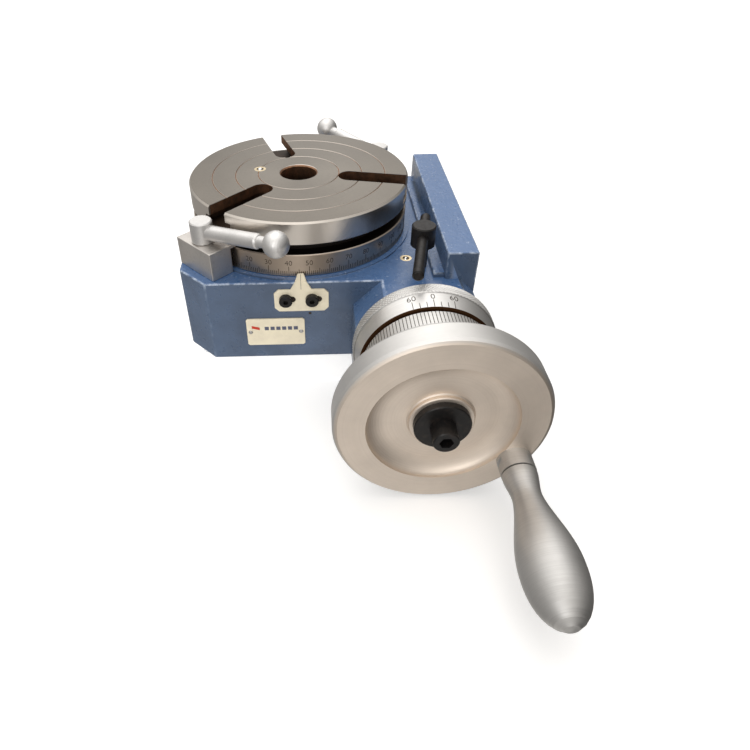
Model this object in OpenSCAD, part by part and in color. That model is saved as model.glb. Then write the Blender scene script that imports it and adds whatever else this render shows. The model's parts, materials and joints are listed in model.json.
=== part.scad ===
// Rotary table for milling and drilling, driven by a worm and a graduated handwheel.
// Z is the table's axis, the base plane is z = 0, and the handwheel faces -Y.
// Distances called "reach" are measured from the table's axis towards the handwheel.

/* [Faceplate] */
// Diameter of the faceplate
table_d = 110; // [100:1:135]
// Height of the faceplate's top above the base plane
table_h = 72.5; // [68:0.5:90]
// Thickness of the slotted rim
rim_t = 12; // [10.5:0.5:15]
// Height of the groove that the clamps reach into
groove_h = 4.2; // [4:0.1:6]
// Depth of that groove, in from the rim
groove_in = 6; // [5.5:0.5:8]
// Height of the graduated ring
ring_h = 10.8; // [9:0.2:13]
// Width of the T-slots at the top
slot_w = 11; // [8:0.5:14]
// Depth of the narrow part of the T-slots
slot_neck = 4.7; // [4:0.1:6]
// Width of the undercut of the T-slots
slot_under_w = 17; // [13:0.5:22]
// Height of the undercut of the T-slots
slot_under_h = 4.3; // [3.5:0.1:5.5]
// Distance from the axis to the centre of a slot's round inner end
slot_in = 26; // [24:0.5:32]
// Direction of the first slot, in degrees from +X
slot_turn = -13; // [-60:1:60]
// Diameter of the centre bore's parallel mouth
bore_d = 18; // [16:0.5:22]
// Length of that parallel mouth
bore_mouth = 8; // [4:0.5:14]
// Radii of the three turned rings on the top
ring_marks = [20.4, 31.8, 43.5];

/* [Base casting] */
// How far the casting stands out past the faceplate, front and back
side_margin = 3.4; // [2.5:0.1:8]
// How far the casting stands out past the faceplate, left
end_margin = 3; // [2.5:0.1:8]
// Size of the bevel on the two left corners
corner_cut = 13.5; // [10:0.5:16]
// Height of the raised lip under the graduated ring
lip_h = 1; // [0.6:0.1:2]
// Thickness of the casting's top wall
web_t = 15; // [13:0.5:20]
// Space between the faceplate and the foot's inner wall
foot_gap = 12; // [10:0.5:20]
// Thickness of the upright foot
foot_t = 14.5; // [11:0.5:18]
// How far the foot rises above the casting's top
foot_rise = 13.5; // [8:0.5:20]
// Width of the step beside the foot
step_w = 5; // [3:0.5:6]
// Height of the step beside the foot
step_h = 2.2; // [1:0.1:4]
// Length of the worm housing in front of the casting
housing_len = 17.9; // [14:0.1:26]
// Half width of the worm housing
housing_half = 31.5; // [30:0.5:36]
// Size of the bevels on the worm housing
housing_cut = 13.5; // [8:0.5:15]
// Width of the two hold-down slots
hold_w = 11; // [9:0.5:14]
// Depth of the bottom cover's recess
cover_recess = 4.5; // [4:0.1:6]
// Thickness of the bottom cover
cover_t = 3; // [2:0.1:3.5]
// Radius of the hole in the bottom cover, for a drawbar
drawbar_r = 8; // [6:0.5:9]

/* [Worm drive] */
// Teeth on the worm wheel, which is also the turns of the handwheel for one turn of the table
wheel_teeth = 90; // [72:1:100]
// Module of the teeth
gear_mod = 1; // [0.9:0.05:1.05]
// Pitch radius of the worm
worm_pitch_r = 11; // [10:0.5:11.5]
// Length of the worm's thread
worm_len = 22; // [18:1:24]
// Width of the worm wheel
wheel_w = 10.6; // [9:0.1:11]
// Outside radius of the eccentric sleeve
sleeve_r = 17; // [16.5:0.1:17.6]
// Offset between the sleeve's axis and the worm's axis
sleeve_ecc = 1.8; // [1.6:0.1:2]
// Radius of the worm shaft at its front journal
shaft_r = 8; // [7:0.1:8.5]
// Radius of the worm shaft at its rear journal
tail_r = 6; // [5:0.1:7]

/* [Dial and handwheel] */
// Largest radius of the knurled collar
collar_r = 32.3; // [31:0.1:34]
// Length of the collar's knurled band
knurl_len = 7; // [5:0.5:9]
// Length of the collar's smooth vernier band
vernier_len = 8.5; // [7:0.5:11]
// Outside radius of the graduated dial
dial_r = 29.6; // [27:0.1:30]
// Length of the graduated dial
dial_len = 23; // [18:0.5:28]
// Radius of the handwheel
handwheel_r = 43.7; // [40:0.1:56]
// Thickness of the handwheel's rim
handwheel_t = 12; // [10:0.5:16]
// Width of the flat band around the handwheel's face
band_w = 13.1; // [12:0.1:18]
// Depth of the handwheel's dished face
dish_depth = 5; // [3:0.1:6]
// Distance of the crank's axis from the handwheel's rim
crank_edge = 6.3; // [5:0.1:8]
// Direction of the crank at rest, in degrees below +X
crank_turn = 32; // [0:1:90]
// Length of the crank's collar
crank_collar_len = 8; // [6:0.5:12]
// Length of the turned grip
grip_len = 64; // [50:1:80]
// Largest radius of the grip
grip_r = 11.6; // [9:0.1:14]

/* [Clamps and lock] */
// Distance from the table's axis to the clamp studs, past the rim
clamp_out = 7; // [6.5:0.1:9]
// Width of a clamp block
clamp_w = 25.4; // [18:0.5:26]
// Direction of the front clamp, in degrees from +X
clamp_turn = 224; // [215:1:235]
// Height of a clamp nut
nut_h = 10.6; // [9.5:0.1:14]
// Radius of a clamp nut
nut_r = 5.3; // [5:0.1:6.5]
// Length of a clamp lever, from the nut's axis to the ball's centre
lever_len = 42.5; // [34:0.5:52]
// Radius of a clamp lever's arm
arm_r = 3.5; // [2.5:0.1:3.6]
// Radius of a clamp lever's ball
ball_r = 6; // [5:0.1:7]
// How far a clamp lever rises towards its ball, in degrees
lever_rise = 7; // [3:0.5:12]
// Radius of the lock screw's head
lock_r = 5.6; // [4.5:0.1:6]
// Height of the lock screw's head
lock_h = 10; // [8:0.5:12]
// Radius of the lock screw's sliding bar
bar_r = 2.5; // [2:0.1:3]
// Length of the sliding bar
bar_len = 54; // [40:1:60]
// Direction of the sliding bar's long end, in degrees from -Y towards -X
bar_turn = 12; // [0:1:30]

/* [Pointer and nameplate] */
// Width of the pointer's plate
pointer_w = 25.6; // [22:0.2:30]
// Height of the pointer's plate
pointer_h = 12; // [10:0.2:15]
// Spacing of the pointer's screws
pointer_pitch = 12.4; // [11:0.2:15]
// Width of the nameplate
name_w = 28.4; // [20:0.2:34]
// Height of the nameplate
name_h = 15.8; // [10:0.2:18]

/* [Fits] */
// Radial clearance of a running fit
running = 0.04; // [0.02:0.01:0.1]
// Space between faces that pass each other
gap = 0.3; // [0.2:0.05:0.5]
// Space around screws in clearance holes
screw_gap = 0.25; // [0.1:0.05:0.5]

/* [Hidden] */
$fn = 96;

eps = 0.01;

// Levels of the faceplate
table_r = table_d / 2;
rim_z = table_h - rim_t;
ring_top = rim_z - groove_h;
ring_bottom = ring_top - ring_h;
neck_r = table_r - groove_in;
body_h = ring_bottom - gap - lip_h;
web_z = body_h - web_t;
slot_floor = table_h - slot_neck - slot_under_h;

// Outline of the casting
body_y = table_r + side_margin;
body_x = table_r + end_margin;
foot_in = table_r + foot_gap;
foot_x = foot_in + foot_t;
foot_top = body_h + foot_rise;
lip_r = table_r + 2.2;

// Worm wheel, and the worm that meets it at mid height
wheel_pitch_r = wheel_teeth * gear_mod / 2;
wheel_tip_r = wheel_pitch_r + gear_mod;
dedendum = 1.25 * gear_mod;
flank = 20;
tooth_t = PI * gear_mod / 2 - 0.22;
thread_t = PI * gear_mod / 2 - 0.3;
lead = PI * gear_mod;
worm_tip_r = worm_pitch_r + gear_mod;
worm_root_r = worm_pitch_r - dedendum;
worm_x = wheel_pitch_r + worm_pitch_r;
worm_z = body_h / 2;
sleeve_x = worm_x + sleeve_ecc * cos(45);
sleeve_z = worm_z + sleeve_ecc * sin(45);
wheel_z = worm_z - wheel_w / 2;
chamber_r = wheel_tip_r + 1.2;
cover_r = chamber_r + 6.3;
cover_screw_ring = chamber_r + 3;

// Spindle below the graduated ring
journal_r = 20;
seat_r = 17;
thread_r = 15;
nut_t = 8;
spindle_bottom = wheel_z - nut_t - 1;
washer_z = wheel_z + wheel_w + 0.2;

// Stations along the worm shaft, as reaches from the table's axis
housing_reach = body_y + housing_len;
collar_back = housing_reach + 0.7;
collar_front = collar_back + knurl_len + vernier_len;
dial_back = collar_front + 1;
dial_front = dial_back + dial_len;
wheel_back = dial_front + 2.9;
wheel_front = wheel_back + handwheel_t;
dish_floor = wheel_front - dish_depth;
hub_front = wheel_front - 2.8;
washer_t = 3;
head_back = hub_front + washer_t;
sleeve_tail = 34;
sleeve_front = collar_front - 6;
shoulder_reach = sleeve_front - 14;
worm_bore_r = worm_tip_r + 1.2;

// Dial
dial_bore = 20;
dial_hub_r = dial_bore - running;
carrier_back = dial_back + 2;

// Clamps
clamp_r = table_r + clamp_out;
lip_gap_z = ring_top + gap;
clamp_top = lip_gap_z + 1.8;
clamp_foot_in = 4.9;
clamp_outer = 6.3;
lever_z = clamp_top + nut_h * 0.45;

// Directions in which the two levers point at rest
front_heading = clamp_turn + 103;
rear_heading = front_heading + 165;

// Lock screw, over the sleeve and clear of the faceplate
lock_x = sleeve_x + 0.2;
lock_y = -sqrt(pow(table_r + 18.6, 2) - pow(lock_x, 2));
bar_z = max(foot_top, worm_z + collar_r) + bar_r + gap;
bar_out = 36.5;
lock_head_z = bar_z - lock_h / 2;
lock_stem_r = 3;
lock_pad_t = 1.4;
lock_stem_z = sleeve_z + sleeve_r + lock_pad_t;

// Screws and pins, by their radii
small_screw_r = 1.5;
small_key_r = 0.85;
screw_r = 3;
stud_r = 2.5;
stud_deep = 12;
dowel_r = 2;
name_pin_r = 0.7;
grub_turns = [20, 140, 260];

// Oilers: a cup pressed into a flat face, with a ball in its mouth
table_oiler_r = 3;
table_oiler_deep = 5;
table_oiler_at = ring_marks[0] * [cos(166), sin(166), 0] + [0, 0, table_h - 0.8];
base_oiler_r = 2.8;
base_oiler_deep = 2.2;
base_oiler_at = [lock_x - 6, lock_y + 7, body_h - 0.79];

// Spindle nut, and its grub screw
nut_outer_r = 24;
grub_len = nut_outer_r - thread_r - 1;

// Hold-down slots
corner_out = (body_x + body_y - corner_cut) * cos(45);
hold_rear_x = foot_in - 14;

// Stop screw, whose point lies in the sleeve's part groove
stop_r = 2.5;
stop_x = sleeve_x;
stop_y = -(body_y - 6);
stop_reach = 1.6;
stop_sink = 1.2;

// Tapped holes in the foot
foot_tap_r = 3.4;
foot_tap_deep = 11;
foot_tap_z = foot_top - 7.5;
foot_tap_pitch = 90;

// Pointer and nameplate on the front face
pointer_x = 0.4;
pointer_t = 0.8;
pointer_tip_y = table_r + gap;
pointer_tip_z = ring_bottom + 0.8;
pointer_z = body_h - 3.6 - pointer_h / 2;
pointer_bevel = 2;
pointer_screw_x = pointer_x - 1.2;
pointer_screw_z = pointer_z + 0.6;
name_x = -12.8;
name_z = 16.2;
name_t = 0.6;
name_pin_half = name_w / 2 - 1.8;

// Bushes and the nose of the worm shaft
bush_r = 10.5;
key_w = 3;
key_rise = 1.5;
nose_r = 6;
nose_back = carrier_back + 2;
nose_front = hub_front - 0.4;
spring_r = 2;
spring_at = [worm_x, -(carrier_back + 9), worm_z + 11];

// Crank
crank_out = handwheel_r - crank_edge;
crank_at = [
    worm_x + crank_out * cos(crank_turn),
    -wheel_front,
    worm_z - crank_out * sin(crank_turn)
];
crank_collar_r = 7.2;
crank_pin_r = 3.5;
crank_pin_len = 40;
crank_tail_r = 4;
ring_groove = [crank_collar_len + crank_pin_len - 3, 1.2, crank_pin_r - 0.7];

// --- helpers -----------------------------------------------------------

// Children drawn as radius and reach are turned about the worm's axis.
module lathe_worm(x = worm_x, z = worm_z) {
    translate([x, 0, z])
        rotate([90, 0, 0])
            rotate_extrude()
                children();
}

// A round bar along the worm's direction, between two reaches.
module bar_worm(r, from, to, x = worm_x, z = worm_z) {
    translate([x, -from, z])
        rotate([90, 0, 0])
            cylinder(h = to - from, r = r);
}

// Places children on a circle.
module around(count, radius, start = 0) {
    for (i = [0:count - 1])
        rotate([0, 0, start + i * 360 / count])
            translate([radius, 0, 0])
                children();
}

// A socket-head screw standing on z = 0, head up, shank down.
module cap_screw(r, length, head_r, head_h, socket_r) {
    difference() {
        union() {
            cylinder(h = head_h - 0.4, r = head_r);
            translate([0, 0, head_h - 0.4])
                cylinder(h = 0.4, r1 = head_r, r2 = head_r - 0.4);
            translate([0, 0, -length])
                cylinder(h = length + eps, r = r);
        }
        translate([0, 0, head_h * 0.4])
            cylinder(h = head_h, r = socket_r, $fn = 6);
    }
}

// A press-in oiler: a flanged cup whose flange lies on z = 0, with its mouth open.
module oiler_cup(r, depth) {
    difference() {
        union() {
            cylinder(h = 0.8, r = r);
            translate([0, 0, -depth])
                cylinder(h = depth + eps, r = r - 0.8);
        }
        translate([0, 0, -depth - eps])
            cylinder(h = depth + 2, r = r * 0.46);
        translate([0, 0, -0.6])
            cylinder(h = 2, r = r * 0.6);
    }
}

// --- faceplate and what turns with it -----------------------------------

module t_slot() {
    out_end = table_r + 5;
    translate([0, 0, table_h - slot_neck]) {
        translate([slot_in, -slot_w / 2, 0])
            cube([out_end - slot_in, slot_w, slot_neck + 1]);
        translate([slot_in, 0, 0])
            cylinder(h = slot_neck + 1, r = slot_w / 2);
    }
    translate([0, 0, slot_floor]) {
        translate([slot_in, -slot_under_w / 2, 0])
            cube([out_end - slot_in, slot_under_w, slot_under_h]);
        translate([slot_in, 0, 0])
            cylinder(h = slot_under_h, r = slot_under_w / 2);
    }
}

module faceplate() {
    edge = 0.8;
    taper = 1 / 20.02 / 2;
    bore_r = bore_d / 2;
    bore_bottom_r = bore_r - 0.11 - (table_h - bore_mouth - spindle_bottom) * taper;
    color("silver")
        difference() {
            rotate_extrude()
                polygon([
                    [bore_bottom_r, spindle_bottom],
                    [thread_r, spindle_bottom],
                    [thread_r, wheel_z],
                    [seat_r, wheel_z],
                    [seat_r, wheel_z + wheel_w],
                    [journal_r, wheel_z + wheel_w],
                    [journal_r, ring_bottom],
                    [table_r - 0.1, ring_bottom],
                    [table_r - 0.1, ring_top - 0.4],
                    [table_r - 0.5, ring_top],
                    [neck_r, ring_top],
                    [neck_r, rim_z],
                    [table_r - 1.2, rim_z],
                    [table_r, rim_z + 1.2],
                    [table_r, table_h - edge],
                    [table_r - edge, table_h],
                    [bore_r + edge, table_h],
                    [bore_r, table_h - edge],
                    [bore_r, table_h - bore_mouth],
                    [bore_r - 0.11, table_h - bore_mouth]
                ]);
            for (turn = [0, 120, 240])
                rotate([0, 0, slot_turn + turn])
                    t_slot();
            rotate_extrude()
                for (r = ring_marks)
                    polygon([
                        [r - 0.35, table_h + eps],
                        [r, table_h - 0.4],
                        [r + 0.35, table_h + eps]
                    ]);
            translate(table_oiler_at)
                oiler_hole(table_oiler_r, table_oiler_deep);
            around(2, seat_r, 45)
                translate([0, 0, wheel_z - eps])
                    cylinder(h = wheel_w + 2 * eps, r = dowel_r);
        }
}

// The stepped hole that an oiler_cup fills.
module oiler_hole(r, depth) {
    cylinder(h = 2, r = r);
    translate([0, 0, -depth])
        cylinder(h = depth + eps, r = r - 0.8);
}

module worm_wheel() {
    half = function(r, t) t / 2 / r * 180 / PI;
    root_r = wheel_pitch_r - dedendum;
    grow = tan(flank);
    tip_t = tooth_t - 2 * grow * gear_mod;
    root_t = tooth_t + 2 * grow * dedendum;
    color("peru")
        difference() {
            translate([0, 0, wheel_z])
                linear_extrude(wheel_w)
                    polygon([
                        for (i = [0:wheel_teeth - 1])
                            let (a = (i + 0.5) * 360 / wheel_teeth)
                                each [
                                    root_r * spoke(a - half(root_r, root_t)),
                                    wheel_tip_r * spoke(a - half(wheel_tip_r, tip_t)),
                                    wheel_tip_r * spoke(a + half(wheel_tip_r, tip_t)),
                                    root_r * spoke(a + half(root_r, root_t))
                                ]
                    ]);
            translate([0, 0, wheel_z - 1])
                cylinder(h = wheel_w + 2, r = seat_r);
            around(2, seat_r, 45)
                translate([0, 0, wheel_z - 1])
                    cylinder(h = wheel_w + 2, r = dowel_r);
        }
}

function spoke(a) = [cos(a), sin(a)];

module wheel_dowels() {
    color("dimgray")
        around(2, seat_r, 45)
            translate([0, 0, wheel_z])
                cylinder(h = wheel_w, r = dowel_r);
}

module spindle_nut() {
    color("dimgray")
        translate([0, 0, wheel_z - nut_t])
            difference() {
                cylinder(h = nut_t, r = nut_outer_r);
                translate([0, 0, -1])
                    cylinder(h = nut_t + 2, r = thread_r);
                around(4, nut_outer_r, 0)
                    translate([-2, -2.5, -1])
                        cube([4, 5, nut_t + 2]);
                grub_bar(2);
            }
}

// The nut's locking screw lies across its wall, between two of its slots.
module grub_bar(extra) {
    rotate([0, 0, 45])
        translate([thread_r, 0, nut_t / 2])
            rotate([0, 90, 0])
                cylinder(h = grub_len + extra, r = small_screw_r);
}

module nut_grub_screw() {
    color("black")
        translate([0, 0, wheel_z - nut_t])
            difference() {
                grub_bar(0);
                rotate([0, 0, 45])
                    translate([nut_outer_r - 3, 0, nut_t / 2])
                        rotate([0, 90, 0])
                            cylinder(h = 3, r = small_key_r, $fn = 6);
            }
}

module table_oiler_body() {
    color("gold")
        translate(table_oiler_at)
            oiler_cup(table_oiler_r, table_oiler_deep);
}

module table_oiler_ball() {
    color("silver")
        translate(table_oiler_at)
            sphere(r = table_oiler_r * 0.5);
}

// --- base casting and what is fixed to it --------------------------------

module housing_outline() {
    left = worm_x - housing_half;
    right = min(worm_x + housing_half, foot_x);
    drop = right - (worm_x + housing_half - housing_cut);
    polygon([
        [left, 0],
        [left, body_h - housing_cut],
        [left + housing_cut, body_h],
        [worm_x + housing_half - housing_cut, body_h],
        [right, body_h - drop],
        [right, 0]
    ]);
}

module hold_slot(turn, out, wall) {
    floor_t = 12;
    rotate([0, 0, turn])
        translate([out, 0, 0]) {
            translate([-wall, -hold_w / 2, -1])
                cube([wall + 20, hold_w, floor_t + 2]);
            translate([-wall, 0, -1])
                cylinder(h = floor_t + 2, r = hold_w / 2);
            translate([-wall - 1, -hold_w, floor_t])
                cube([wall + 21, 2 * hold_w, body_h - floor_t - 8]);
        }
}

module base_casting() {
    color("steelblue")
        difference() {
            union() {
                linear_extrude(body_h)
                    polygon([
                        [-body_x, -(body_y - corner_cut)],
                        [-(body_x - corner_cut), -body_y],
                        [foot_in + eps, -body_y],
                        [foot_in + eps, body_y],
                        [-(body_x - corner_cut), body_y],
                        [-body_x, body_y - corner_cut]
                    ]);
                translate([foot_in, -body_y, 0])
                    cube([foot_t, 2 * body_y, foot_top]);
                translate([foot_in - step_w, -body_y + 1.5, body_h - eps])
                    cube([step_w + eps, 2 * body_y - 14, step_h]);
                translate([0, 0, body_h - eps])
                    cylinder(h = lip_h, r = lip_r);
                translate([0, -body_y + eps, 0])
                    rotate([90, 0, 0])
                        linear_extrude(housing_len + eps)
                            housing_outline();
            }
            translate([0, 0, cover_recess])
                cylinder(h = web_z - cover_recess, r = chamber_r);
            translate([0, 0, -1])
                cylinder(h = cover_recess + 1 + eps, r = cover_r);
            translate([0, 0, web_z - 1])
                cylinder(h = body_h, r = journal_r + running);
            bar_worm(sleeve_r + running, -sleeve_tail - 1, housing_reach + 1, sleeve_x, sleeve_z);
            around(4, cover_screw_ring, 45)
                cylinder(h = cover_recess + 7, r = small_screw_r);
            for (side = [0, 1])
                rotate([0, 0, clamp_turn + 180 * side])
                    translate([clamp_r, 0, body_h - stud_deep])
                        cylinder(h = stud_deep + 1, r = stud_r);
            hold_slot(135, corner_out, 10);
            translate([hold_rear_x, 0, 0])
                hold_slot(90, body_y, 9);
            translate([lock_x, lock_y, sleeve_z])
                cylinder(h = body_h, r = lock_stem_r);
            translate(base_oiler_at)
                oiler_hole(base_oiler_r, base_oiler_at[2] - sleeve_z);
            translate([stop_x, stop_y, -1])
                cylinder(h = sleeve_z, r = stop_r);
            translate([stop_x, stop_y, -1])
                cylinder(h = 1 + stop_sink, r = stop_r + 1.6);
            for (side = [-1, 1])
                translate([pointer_screw_x + side * pointer_pitch / 2, -body_y + 8, pointer_screw_z])
                    rotate([90, 0, 0])
                        cylinder(h = 9, r = small_screw_r);
            for (side = [-1, 1])
                translate([name_x + side * name_pin_half, -body_y + 3, name_z])
                    rotate([90, 0, 0])
                        cylinder(h = 4, r = name_pin_r);
            translate([foot_x - foot_tap_deep, 0, foot_tap_z])
                foot_taps(foot_tap_deep + 1);
        }
}

// Two tapped holes near the top of the foot, drawn from the bottom of the thread outwards.
module foot_taps(length) {
    for (side = [-1, 1])
        translate([0, side * foot_tap_pitch / 2, 0])
            rotate([0, 90, 0])
                cylinder(h = length, r = foot_tap_r);
}

module bottom_cover() {
    color("dimgray")
        translate([0, 0, cover_recess - cover_t])
            difference() {
                cylinder(h = cover_t, r = cover_r - screw_gap);
                translate([0, 0, -1])
                    cylinder(h = cover_t + 2, r = drawbar_r);
                around(4, cover_screw_ring, 45)
                    translate([0, 0, -1])
                        cylinder(h = cover_t + 2, r = small_screw_r + screw_gap);
                around(4, cover_screw_ring, 45)
                    translate([0, 0, -eps])
                        cylinder(h = 1.6, r1 = 3.1, r2 = small_screw_r);
            }
}

module cover_screws() {
    color("black")
        around(4, cover_screw_ring, 45)
            translate([0, 0, cover_recess - cover_t])
                difference() {
                    union() {
                        cylinder(h = 1.35, r1 = 2.85, r2 = small_screw_r);
                        cylinder(h = cover_t + 6, r = small_screw_r);
                    }
                    translate([0, 0, -1])
                        cylinder(h = 1.8, r = 0.9, $fn = 6);
                }
}

module thrust_washer() {
    color("darkgoldenrod")
        translate([0, 0, washer_z])
            difference() {
                cylinder(h = web_z - washer_z, r = 30);
                translate([0, 0, -1])
                    cylinder(h = web_z - washer_z + 2, r = journal_r + gap);
            }
}

module base_oiler_body() {
    color("gold")
        translate(base_oiler_at)
            oiler_cup(base_oiler_r, base_oiler_deep);
}

module base_oiler_ball() {
    color("silver")
        translate(base_oiler_at)
            sphere(r = base_oiler_r * 0.5);
}

// The pointer is one folded sheet: a plate on the front face, a neck that narrows upwards, and
// a tip that lies on the casting's top and ends beside the graduated ring.
// A sheet that is screwed to the front face, and bent back towards the ring at the casting's edge.
module pointer_plate() {
    half = pointer_w / 2;
    base = pointer_z - pointer_h / 2;
    top = pointer_z + pointer_h / 2;
    bend_z = body_h + 0.3;
    tip_top = pointer_tip_z + pointer_t;
    color("ivory")
        difference() {
            intersection() {
                translate([pointer_x, -pointer_tip_y, 0])
                    rotate([90, 0, 0])
                        linear_extrude(body_y - pointer_tip_y + 2 * pointer_t)
                            polygon([
                                [-half, base + pointer_bevel],
                                [-half + pointer_bevel, base],
                                [half - pointer_bevel, base],
                                [half, base + pointer_bevel],
                                [half, top - pointer_bevel],
                                [half - pointer_bevel, top],
                                [5, top],
                                [1.3, tip_top],
                                [-1.3, tip_top],
                                [-5, top],
                                [-half + pointer_bevel, top],
                                [-half, top - pointer_bevel]
                            ]);
                translate([pointer_x - half - 1, 0, 0])
                    rotate([90, 0, 90])
                        linear_extrude(pointer_w + 2)
                            polygon([
                                [-body_y, base - 1],
                                [-body_y, bend_z],
                                [-lip_r, body_h + lip_h + 0.15],
                                [-pointer_tip_y, pointer_tip_z],
                                [-pointer_tip_y, tip_top],
                                [-body_y - pointer_t, bend_z + 0.4],
                                [-body_y - pointer_t, base - 1]
                            ]);
            }
            for (side = [-1, 1])
                translate([pointer_screw_x + side * pointer_pitch / 2, -body_y + 1, pointer_screw_z])
                    rotate([90, 0, 0])
                        pointer_slot(small_screw_r + screw_gap, 3);
        }
}

// A slot that starts round a screw and runs along +X.
module pointer_slot(r, length) {
    cylinder(h = 3, r = r);
    translate([length, 0, 0])
        cylinder(h = 3, r = r);
    translate([0, -r, 0])
        cube([length, 2 * r, 3]);
}

module pointer_screws() {
    color("black")
        for (side = [-1, 1])
            translate([pointer_screw_x + side * pointer_pitch / 2, -body_y - pointer_t, pointer_screw_z])
                rotate([90, 0, 0])
                    cap_screw(small_screw_r, 7.5, 3.1, 2.6, 1.3);
}

module nameplate() {
    bevel = 0.8;
    color("wheat")
        translate([name_x, -body_y, name_z])
            rotate([90, 0, 0])
                difference() {
                    linear_extrude(name_t)
                        polygon([
                            [-name_w / 2 + bevel, -name_h / 2],
                            [name_w / 2 - bevel, -name_h / 2],
                            [name_w / 2, -name_h / 2 + bevel],
                            [name_w / 2, name_h / 2 - bevel],
                            [name_w / 2 - bevel, name_h / 2],
                            [-name_w / 2 + bevel, name_h / 2],
                            [-name_w / 2, name_h / 2 - bevel],
                            [-name_w / 2, -name_h / 2 + bevel]
                        ]);
                    for (side = [-1, 1])
                        translate([side * name_pin_half, 0, -1])
                            cylinder(h = 3, r = name_pin_r);
                }
}

module nameplate_pins() {
    color("tan")
        for (side = [-1, 1])
            translate([name_x + side * name_pin_half, -body_y + 2.5, name_z])
                rotate([90, 0, 0]) {
                    cylinder(h = 2.5 + name_t + eps, r = name_pin_r);
                    translate([0, 0, 2.5 + name_t])
                        cylinder(h = 0.4, r1 = name_pin_r + 0.4, r2 = name_pin_r);
                }
}

// The block stands on the casting, and its nose reaches over the graduated ring.
module clamp_block() {
    heel = table_r + gap;
    outer = clamp_r + clamp_outer;
    difference() {
        union() {
            translate([heel - 2, -clamp_w / 2, body_h])
                cube([outer - heel + 2, clamp_w, clamp_top - body_h]);
            translate([table_r - clamp_foot_in, -clamp_w / 2, lip_gap_z])
                cube([clamp_foot_in + 1, clamp_w, clamp_top - lip_gap_z]);
        }
        translate([0, 0, body_h - 1])
            cylinder(h = lip_gap_z - body_h + 1, r = lip_r + gap);
        translate([0, 0, lip_gap_z - eps])
            cylinder(h = clamp_top, r = neck_r + gap);
        translate([clamp_r, 0, body_h - 1])
            cylinder(h = clamp_top, r = stud_r + screw_gap);
    }
}

module clamp_block_front() {
    color("silver")
        rotate([0, 0, clamp_turn])
            clamp_block();
}

module clamp_block_rear() {
    color("silver")
        rotate([0, 0, clamp_turn + 180])
            clamp_block();
}

module clamp_studs() {
    color("dimgray")
        for (side = [0, 1])
            rotate([0, 0, clamp_turn + 180 * side])
                translate([clamp_r, 0, body_h - stud_deep])
                    cylinder(h = stud_deep + clamp_top - body_h + nut_h - 3, r = stud_r);
}

module clamp_nut(turn) {
    color("silver")
        rotate([0, 0, turn])
            translate([clamp_r, 0, clamp_top + 0.05])
                difference() {
                    union() {
                        cylinder(h = 0.5, r1 = nut_r - 0.5, r2 = nut_r);
                        translate([0, 0, 0.5])
                            cylinder(h = nut_h - 1.05, r = nut_r);
                        translate([0, 0, nut_h - 0.55])
                            cylinder(h = 0.5, r1 = nut_r, r2 = nut_r - 0.5);
                    }
                    translate([0, 0, -1])
                        cylinder(h = nut_h - 1.7, r = stud_r + running);
                }
}

module clamp_nut_front() {
    clamp_nut(clamp_turn);
}

module clamp_nut_rear() {
    clamp_nut(clamp_turn + 180);
}

// The lever is a bar that starts on the nut's wall and ends in a ball.
module clamp_lever(turn, heading) {
    rotate([0, 0, turn])
        translate([clamp_r, 0, lever_z])
            rotate([0, 0, heading - turn])
                rotate([0, -lever_rise, 0])
                    rotate([0, 90, 0])
                        rotate_extrude()
                            polygon([
                                [0, nut_r - 1.6],
                                [arm_r, nut_r - 1.6],
                                [arm_r, lever_len - ball_r - 4],
                                [arm_r - 0.5, lever_len - ball_r - 3.2],
                                [arm_r - 0.9, lever_len - ball_r - 3],
                                [arm_r - 0.9, lever_len - ball_r + 0.4],
                                for (a = [-60:10:90])
                                    [ball_r * cos(a), lever_len + ball_r * sin(a)]
                            ]);
}

module clamp_lever_front() {
    color("silver")
        difference() {
            clamp_lever(clamp_turn, front_heading);
            nut_body(clamp_turn);
        }
}

module clamp_lever_rear() {
    color("silver")
        difference() {
            clamp_lever(clamp_turn + 180, rear_heading);
            nut_body(clamp_turn + 180);
        }
}

// The space that a clamp nut takes, so that its lever ends on its wall.
module nut_body(turn) {
    rotate([0, 0, turn])
        translate([clamp_r, 0, clamp_top])
            cylinder(h = nut_h, r = nut_r);
}

module sleeve_stop_screw() {
    color("black")
        translate([stop_x, stop_y, stop_sink])
            difference() {
                cylinder(h = sleeve_z - sleeve_r + stop_reach - stop_sink, r = stop_r);
                translate([0, 0, -1])
                    cylinder(h = 3.5, r = 1.3, $fn = 6);
            }
}

// --- eccentric sleeve and what turns with it ------------------------------

module eccentric_sleeve() {
    window = 26;
    color("lightgray")
        difference() {
            bar_worm(sleeve_r, -sleeve_tail, sleeve_front, sleeve_x, sleeve_z);
            bar_worm(worm_bore_r, -(worm_len / 2 + 4), worm_len / 2 + 6);
            bar_worm(bush_r, -sleeve_tail - 1, shoulder_reach + 1);
            bar_worm(worm_bore_r, shoulder_reach - 3, sleeve_front + 1);
            translate([sleeve_x, window, sleeve_z])
                rotate([90, 0, 0])
                    rotate([0, 0, 60])
                        rotate_extrude(angle = 165)
                            translate([5, 0])
                                square([sleeve_r, 2 * window]);
            translate([stop_x, stop_y + stop_r + gap, sleeve_z])
                rotate([90, 0, 0])
                    rotate([0, 0, 165])
                        rotate_extrude(angle = 120)
                            translate([sleeve_r - stop_reach - gap, 0])
                                square([5, 2 * (stop_r + gap)]);
        }
}

// A plain bush around the worm shaft.
module bush(inner, from, to) {
    color("darkgoldenrod")
        difference() {
            bar_worm(bush_r, from, to);
            bar_worm(inner + running, from - 1, to + 1);
        }
}

module rear_bush() {
    bush(tail_r, -sleeve_tail, -(worm_len / 2 + 6));
}

module front_bush() {
    bush(shaft_r, worm_len / 2 + 8, shoulder_reach - 3.2);
}

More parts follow.
